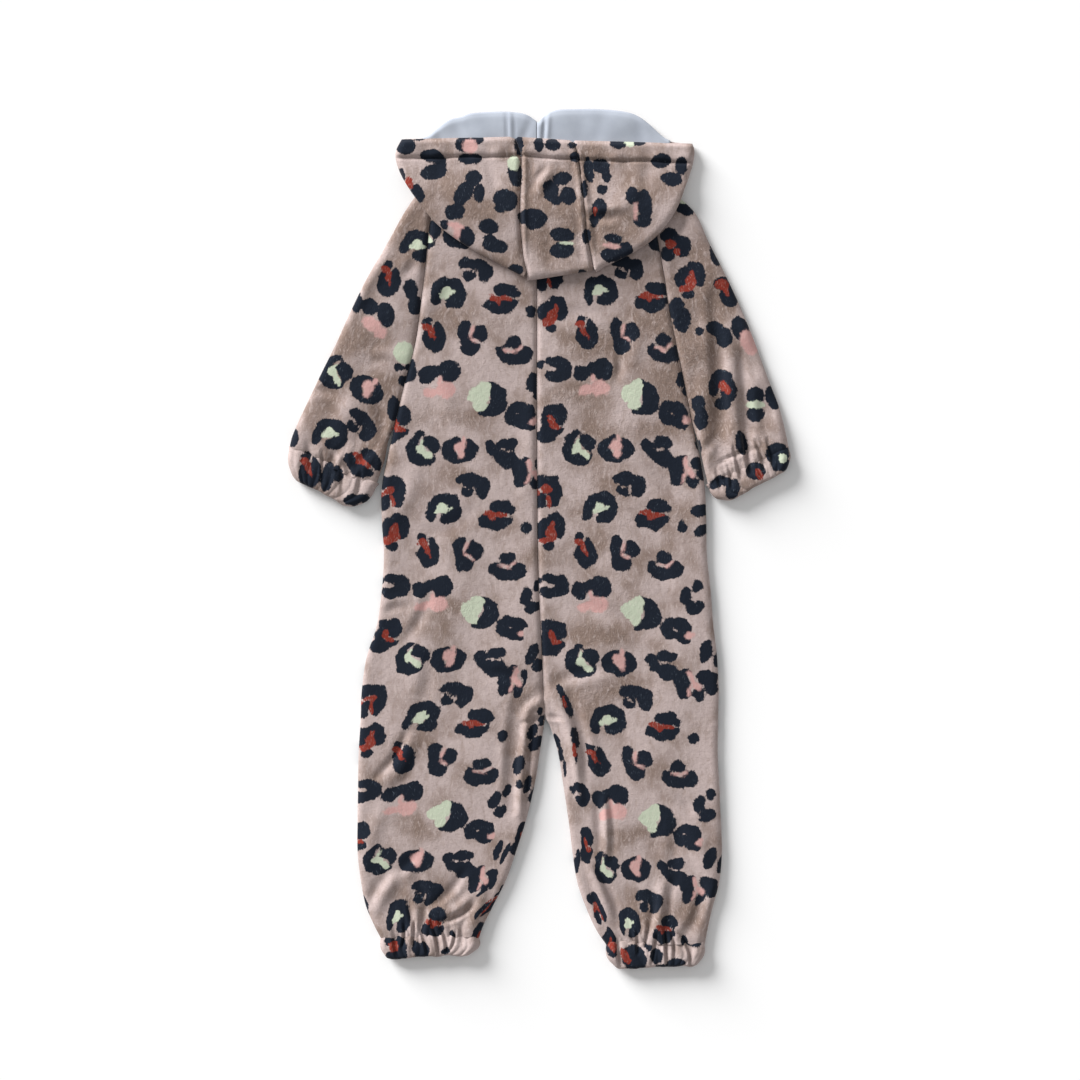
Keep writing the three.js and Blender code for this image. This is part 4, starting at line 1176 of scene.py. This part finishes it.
# Top edge of the throat side, from the hood's outer tip to the zip
THROAT_RIM = {
    "left": [
        (-128.5, 373), (-107, 374.5), (-96, 382), (-84, 390.5), (-73, 393.5),
        (-64, 396.5), (-46, 398), (-28, 398), (-13, 395.5), (-3, 389),
    ],
    "right": [
        (141.5, 369), (119, 372), (102, 386), (91, 394), (79, 398),
        (56, 400.5), (32, 400.5), (15, 399.5), (5, 395), (-1, 388.5),
    ],
}
HOOD_FOLDS = [
    (0, 324.5, 9.5, 342, 4, 2.5, 1),
    (-6.5, 328.5, 3.5, 345, 3, -2, 1),
    (42, 309, 74.5, 309.5, 4.5, 2, -2),
    (43, 302, 72.5, 302, 4, -1.7, -2),
    (42, 354.5, 53, 270.5, 4, -2.3, 1),
    (31.5, 367.5, 40, 317, 3.6, 2.5, 1),
    (37, 317, 44.5, 259.5, 3.4, 1.7, 0),
    (-15, 363.5, -14, 259.5, 2.3, 2, 0),
    (-9.5, 354.5, -8.5, 330, 3, -1.6, 1),
    (7.5, 293, 11, 252, 6, -0.9, 0),
    (-90, 330, -60, 300, 9, 1.4, 4),
    (96, 330, 70, 296, 9, 1.4, -4),
    (-50, 350, -42, 326, 6, -1.4, 2),
    (104, 352, 98, 322, 6, -1.4, -2),
    (-100, 348, -92, 330, 5, -1.2, 1),
    (60, 300, 90, 290, 7, -1.1, 2),
]
HOOD_MARKS = placed([
    ("navy", -124.5, 366.5, 9, 8, 0),
    ("navy", -111.5, 375, 5, 3, 0),
    ("navy", -100.5, 357, 10.5, 6, -8),
    ("navy", -98.5, 342, 12.5, 7, 8),
    ("navy", -92, 350.5, 5, 9, 0),
    ("navy", -71, 368.5, 7.5, 8, 0),
    ("navy", -65, 354.5, 11, 5, 0),
    ("navy", -58.5, 372, 6, 4.5, 0),
    ("pink", -65, 366, 7, 6.5, 0),
    ("navy", -61.5, 336.5, 7.5, 7.5, 0),
    ("navy", -70.5, 322.5, 7.5, 13.5, -32),
    ("navy", -79, 305, 9.5, 7.5, 10),
    ("navy", -56.5, 322.5, 5, 9, 0),
    ("navy", -88.5, 293, 4, 4, 0),
    ("navy", -68, 282, 7.5, 9.5, 20),
    ("pink", -78, 292, 7.5, 3, -10),
    ("pink", -77, 284.5, 3, 6.5, -20),
    ("navy", -23, 340.5, 6.5, 12.5, 10),
    ("green", -24.5, 350.5, 5.5, 7, 0),
    ("navy", -32, 316, 11.5, 10, -20),
    ("navy", -36.5, 309, 6, 5, 0),
    ("navy", -47.5, 291, 9, 7, -14),
    ("navy", -41.5, 273.5, 12, 6.5, -10),
    ("navy", -46.5, 279, 6, 5, 0),
    ("rust", -121, 332, 3.4, 6, 10),
    ("navy", -113.5, 322, 6, 9, 20),
    ("navy", -128.5, 339.5, 3.5, 6, 10),
    ("navy", -22.5, 251, 7, 5, 0),
    ("navy", -19.5, 367.5, 4, 9, 0),
    ("navy", -1, 368.5, 4.5, 7.5, 0),
    ("navy", 12, 367.5, 7, 5.5, 0),
    ("navy", 30, 367.5, 4, 3, 0),
    ("navy", 32.5, 356, 4.5, 5, 0),
    ("navy", 10, 324.5, 7, 10.5, 10),
    ("navy", 20.5, 336, 9, 6, 14),
    ("navy", 26, 320, 7, 8.5, 10),
    ("navy", 15, 315.5, 6, 4.5, 0),
    ("navy", -7, 299.5, 14, 8, -4),
    ("navy", -5.5, 294, 9, 5.5, 0),
    ("navy", 20.5, 283.5, 11.5, 6.5, -8),
    ("navy", 20.5, 269.5, 11.5, 7.5, 6),
    ("green", 25, 276, 7, 1.4, -6),
    ("navy", 45.5, 344, 4.5, 12, 6),
    ("navy", 56.5, 348, 8.5, 6.5, -10),
    ("navy", 61.5, 338.5, 4, 7, 10),
    ("navy", 57.5, 325.5, 4.6, 4.6, 0),
    ("navy", 55, 308, 7, 9, 0),
    ("navy", 50, 297.5, 4, 7, 0),
    ("rust", 51, 305, 1.5, 4, 0),
    ("navy", 41, 326.5, 3, 8, 0),
    ("navy", 43, 282, 4, 7, 0),
    ("navy", 73.5, 369.5, 8.5, 5.5, 10),
    ("green", 83, 370, 4, 5, 0),
    ("navy", 91.5, 371, 6, 4.5, 0),
    ("navy", 112.5, 352.5, 9.5, 6.5, 10),
    ("navy", 131, 348, 5.5, 8.5, 0),
    ("navy", 122, 335.5, 10, 6.5, -10),
    ("navy", 85.5, 320, 6, 8, 0),
    ("navy", 97, 311.5, 7, 14.5, 6),
    ("navy", 95, 296.5, 8, 6, 0),
    ("pink", 88.5, 306, 1.6, 7.5, 0),
    ("navy", 68, 280, 8.5, 4.6, -10),
    ("navy", 79.5, 269, 6.5, 8.5, 10),
    ("navy", 66, 265, 10, 6.5, 0),
    ("pink", 66, 273.5, 7.5, 2, -10),
    ("navy", 40, 246.5, 5, 5, 0),
])


def hood_base(y):
    """Height of what the hood lies on: the body below the neck, and the bare floor past it."""
    return (STACK + 0.4) * smooth(-y, -340, -330)


def throat_rim(side, along):
    rim = curve([(10 * k, *point) for k, point in enumerate(THROAT_RIM[side])], 1.5)
    place = along * rim[-1, 0]
    return np.stack([np.interp(place, rim[:, 0], rim[:, 1]), np.interp(place, rim[:, 0], rim[:, 2])], -1)


def hood_height(x, y, down):
    """Top face of the flopped hood. down is the distance from the rim."""
    rise = (STACK + 0.4) * smooth(-y, -372, -300) + HOOD_STACK + folds(HOOD_FOLDS, x, y) + 0.5 * ripple(x, y, 48, 11)
    casing = smooth(down, -1, 4) * smooth(20 - down, 0, 8)
    stitched = down - 18 - 0.5 * np.sin(x / 9)
    rise += 1.6 * casing - 2.4 * np.exp(-((down / 2.2) ** 2)) - 2.8 * np.exp(-((stitched / 1.3) ** 2))
    small = 0.8 * ripple(x, down * 0.3, 14, 12) * np.exp(-(((down - 16) / 7) ** 2))
    return rise + small


for side, sign in (("left", 1), ("right", -1)):
    table = [(k, *row) for k, row in enumerate(HOOD[side])]
    k, edge_x, edge_y, seam_x, seam_y = curve(table, 1.3).T
    edge, seam = np.stack([edge_x, edge_y], 1), np.stack([seam_x, seam_y], 1)
    throat = k <= THROAT_LAST + 1e-6
    drop = np.clip(k / THROAT_LAST, 0, 1)
    from_rim = ((seam_y[0] + edge_y[0]) / 2 - (seam_y + edge_y) / 2)[:, None]
    middle = hood_base(edge_y) + HOOD_STACK / 2

    def side_height(x, py, along, inside):
        return hood_height(x, py, from_rim + 0 * x)

    def under_path(along):
        tip, centre = throat_rim(side, np.array(0.0)), THROAT_RIM[side][-1][0]
        down = drop[:, None, None]
        neck = np.stack([lerp(tip[0], centre, along), np.full_like(along, THROAT_SEAM_Y)], -1)
        below_tip = lerp(tip, np.array([tip[0], THROAT_SEAM_Y]), down)
        point = lerp(throat_rim(side, along), neck, down)
        point = point + (edge[:, None] - below_tip) * ((1 - along) ** 3)[..., None]
        nape = lerp(edge[:, None], seam[:, None], along[..., None])
        return np.where(throat[:, None, None], point, nape)

    zip_side = np.stack([np.full_like(seam_y, ZIP_X - sign * SLOT), seam_y], 1)
    upper = layer(seam, edge, (0.3, 1), (middle, middle), 46, WALL, 1, side_height, groove=(1.6, 0))
    lower = layer(edge, np.where(throat[:, None], zip_side, seam), (1, 0), (middle, middle), 30, WALL, -1,
                  lambda x, y, along, inside: hood_base(y), path=under_path)
    faces = [np.hstack([a, b[:, 1:]]) for a, b in zip(upper, lower)]
    cells = np.arange(faces[0].shape[1] - 1)[None, :]
    upper_cells = upper[0].shape[1] - 1
    lower_cells = lower[0].shape[1] - 1
    neck_row = (throat[:-1] & ~throat[1:])[:, None]
    left_out = neck_row & (cells >= upper_cells + NECK_OPEN_FROM * lower_cells)
    fields = printed(HOOD_MARKS, upper[0][..., 0], upper[0][..., 1])
    hidden = printed(CHART.values(), lower[0][..., 1] + 20, lower[0][..., 0], REPEAT)
    across = np.linspace(0, 1, lower[0].shape[1])
    fields = {ink: np.hstack([fields[ink], np.maximum(hidden[ink], 6 - 60 * across)[:, 1:]]) for ink in INKS}
    cloth = np.hstack([cloth_points(upper[0], 0, 240), cloth_points(lower[0], 0, 280)[:, 1:]])
    made = shell("fleece_hood_" + side, "hood_side_" + side, faces, fleece, cloth, fields, left_out=left_out)


# Hood gusset: one long strip of the fleece between the hood's sides, from the forehead over the head to the
# nape. Laid flat it shows as the middle strip of the hood, and turns under at its foot.
# The fold at its foot slopes up to the right
NAPE_FOLD_Y = (241.0, 250.5)
share_rows = np.linspace(0, 1, 110)
left, right = (
    np.stack([np.interp(share_rows, np.linspace(0, 1, len(line)), line[:, n]) for n in (0, 1)], 1)
    for line in (curve([row[2:] for row in HOOD["left"]], 1.6), curve([row[2:] for row in HOOD["right"]], 1.6)))
left[:, 0] += SEAM
right[:, 0] -= SEAM
share = np.concatenate([np.linspace(0, 0.1, 7)[:-1], np.linspace(0.1, 0.9, 30), np.linspace(0.9, 1, 7)[1:]])
top = lerp(left[:, None], right[:, None], share[None, :, None])
x, y = top[..., 0], top[..., 1]
from_seam = np.minimum(x - left[:, :1], right[:, :1] - x)
from_rim = (y[0].mean() - y.mean(1))[:, None]
height = hood_height(x, y, from_rim + 0 * x)
height = height - 2.2 * np.exp(-((from_seam / 2) ** 2)) - 0.6 * np.exp(-((from_seam / 5) ** 2))
rows_outer = [np.dstack([x, y, height])]
rows_inner = [np.dstack([x, y, height - WALL])]
base = STACK + 0.4
foot_x, foot_y, foot_z = x[-1], y[-1], height[-1]
middle = (foot_z + base) / 2
for step in range(1, 12):
    turn = (step / 6 - 1) * math.pi / 2
    reach = foot_y - lerp(*NAPE_FOLD_Y, share)
    half = (foot_z - base) / 2
    rows_outer.append(np.dstack([foot_x, foot_y - reach * math.cos(turn), middle - half * math.sin(turn)]))
    rows_inner.append(np.dstack([foot_x, foot_y - (reach - WALL) * math.cos(turn),
                                 middle - (half - WALL) * math.sin(turn)]))
first_nape = int(len(share_rows) * 5 / 11)
under = top[first_nape:][::-1]
rows_outer.append(np.dstack([under[..., 0], under[..., 1], np.full(under.shape[:2], base)]))
rows_inner.append(np.dstack([under[..., 0], under[..., 1], np.full(under.shape[:2], base + WALL)]))
faces = [np.vstack(rows_outer), np.vstack(rows_inner)]
fields = printed(HOOD_MARKS, faces[0][..., 0], faces[0][..., 1])
made = shell("fleece_hood_gusset", "hood_gusset", faces, fleece, cloth_points(faces[0], 0, 320), fields)


# Hood lining, left and right: thin plain knitted cotton, pale blue grey. It covers the inside of the throat
# side, and its top shows past the rim of the flopped hood.
LINING_WALL = 1.2
LINING_END_Y = 352.0
lining = new_material("thin lining knit")
place = add(lining, "Attribute", attribute_name="cloth").outputs["Vector"]
ribs = add(lining, "TexWave", {"Vector": place, "Scale": 0.35, "Distortion": 1.5, "Detail": 1.0}, bands_direction="X")
cloudy = noise_at(lining, place, 0.06, 3).outputs["Fac"]
tone = mixed(lining, cloudy, colour("999FAB"), colour("B1B7C1"))
bump = add(lining, "Bump", {"Height": ribs.outputs["Fac"], "Strength": 0.25, "Distance": 0.0002})
surface = add(lining, "BsdfPrincipled", {
    "Base Color": tone, "Roughness": 0.85, "Specular IOR Level": 0.2, "Sheen Weight": 0.15,
    "Normal": bump.outputs[0],
})
add(lining, "OutputMaterial", {"Surface": surface.outputs[0]})
LINING_FOLDS = [
    (-28, 399, -27, 368, 1.7, 0.8, 0),
    (-31.5, 399, -30.5, 368, 1.3, -0.6, 0),
    (-24.5, 399, -23.5, 368, 1.3, -0.5, 0),
    (8.5, 399, 6.5, 368, 2.2, 0.9, 0),
    (4.5, 396, 3, 368, 1.8, -0.8, 0),
    (-8, 392, -17, 368, 4, -0.6, 0),
    (-75, 390, -62, 368, 4, 0.5, 0),
    (-96, 384, -90, 366, 4, -0.5, 0),
    (60, 398, 52, 368, 6, -0.5, 0),
    (96, 392, 104, 366, 5, 0.5, 0),
]
for side, sign in (("left", 1), ("right", -1)):
    across = np.linspace(0.1, 1, 76)
    rim = throat_rim(side, across)
    level = np.linspace(0, 1, 26)[:, None]
    y = lerp(rim[None, :, 1] + 0.8, LINING_END_Y, level)
    x = np.broadcast_to(rim[None, :, 0], y.shape).copy()
    x[:, -1] = ZIP_X - sign * SEAM / 2
    rise = WALL + SEAM + LINING_WALL + folds(LINING_FOLDS, x, y) + 0.5 * ripple(x, y, 34, 14) + 1.4
    rise -= 1.6 * np.exp(-(((level * 40) / 2.5) ** 2))
    faces = [np.dstack([x, y, rise]), np.dstack([x, y, rise - LINING_WALL])]
    made = shell("lining_throat_" + side, "hood_lining_" + side, faces, lining, cloth_points(faces[0]))


# Front zip: a grey woven tape with a moulded coil, sewn between the fronts from below the waist to the throat,
# closed, with a plain moulded slider at its top. All of it faces the floor.
zip_grey = new_material("grey zip tape and coil")
place = add(zip_grey, "TexCoord").outputs["Object"]
twill = add(zip_grey, "TexWave", {"Vector": place, "Scale": 900.0, "Distortion": 0.5}, bands_direction="DIAGONAL")
bump = add(zip_grey, "Bump", {"Height": twill.outputs["Fac"], "Strength": 0.2, "Distance": 0.0001})
surface = add(zip_grey, "BsdfPrincipled", {
    "Base Color": colour("8D8F96"), "Roughness": 0.5, "Specular IOR Level": 0.4, "Normal": bump.outputs[0],
})
add(zip_grey, "OutputMaterial", {"Surface": surface.outputs[0]})
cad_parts["zip_slider"].data.materials.clear()
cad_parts["zip_slider"].data.materials.append(zip_grey)
TOOTH_PITCH = 1.9
zip_length = ZIP_TOP - ZIP_BOTTOM
bpy.ops.object.select_all(action="DESELECT")
bpy.ops.mesh.primitive_cube_add(
    size=1, location=(ZIP_X / 1000, (ZIP_TOP + ZIP_BOTTOM) / 2000, 0.00125),
    scale=(ZIP_WIDTH / 1000, zip_length / 1000, 0.0009),
)
tape = bpy.context.object
tape.name = "zip_woven_tape"
bpy.ops.object.transform_apply()
bpy.ops.object.select_all(action="DESELECT")
bpy.ops.mesh.primitive_cube_add(
    size=1, location=(ZIP_X / 1000, (ZIP_BOTTOM + 2) / 1000, 0.00045), scale=(0.0036, 0.0012, 0.0008),
)
teeth = bpy.context.object
teeth.name = "zip_teeth"
bpy.ops.object.transform_apply()
row = teeth.modifiers.new("row of teeth", "ARRAY")
row.use_relative_offset = False
row.use_constant_offset = True
row.constant_offset_displace = (0, TOOTH_PITCH / 1000, 0)
row.count = int((zip_length - 16) / TOOTH_PITCH)
bpy.ops.object.modifier_apply(modifier=row.name)
for piece in (tape, teeth):
    piece.data.materials.append(zip_grey)
    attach(piece, "root")
    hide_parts("zip_tape")


# Floor, light and camera: a white surface under soft light from the upper left, seen from straight above.
bpy.ops.object.select_all(action="DESELECT")
floor_white = new_material("white floor")
surface = add(floor_white, "BsdfPrincipled", {
    "Base Color": (0.9, 0.9, 0.9, 1), "Roughness": 0.9, "Specular IOR Level": 0.1,
})
add(floor_white, "OutputMaterial", {"Surface": surface.outputs[0]})
bpy.ops.mesh.primitive_plane_add(size=6, location=(0, 0, -0.0004))
floor = bpy.context.object
floor.name = "floor"
floor.data.materials.append(floor_white)

bpy.ops.object.light_add(type="SUN", location=(-1, 1, 1))
key = bpy.context.object
key.name = "soft key light"
key.data.angle = math.radians(32)
key.data.energy = 6.6
key.rotation_euler = (math.radians(72), 0, math.radians(-135))
world = bpy.data.worlds.new("soft white studio")
world.use_nodes = True
world.node_tree.nodes["Background"].inputs["Color"].default_value = (1, 1, 1, 1)
world.node_tree.nodes["Background"].inputs["Strength"].default_value = 0.48
bpy.context.scene.world = world

CAMERA_HEIGHT = 4.0
SEEN_WIDTH = 1080 * 0.93 / 1000
bpy.ops.object.camera_add(location=(0, 0.0009, CAMERA_HEIGHT), rotation=(0, 0, 0))
camera = bpy.context.object
camera.data.sensor_width = 36
camera.data.lens = 36 * CAMERA_HEIGHT / SEEN_WIDTH
camera.data.clip_end = 20
bpy.context.scene.camera = camera
bpy.context.scene.view_settings.view_transform = "Standard"
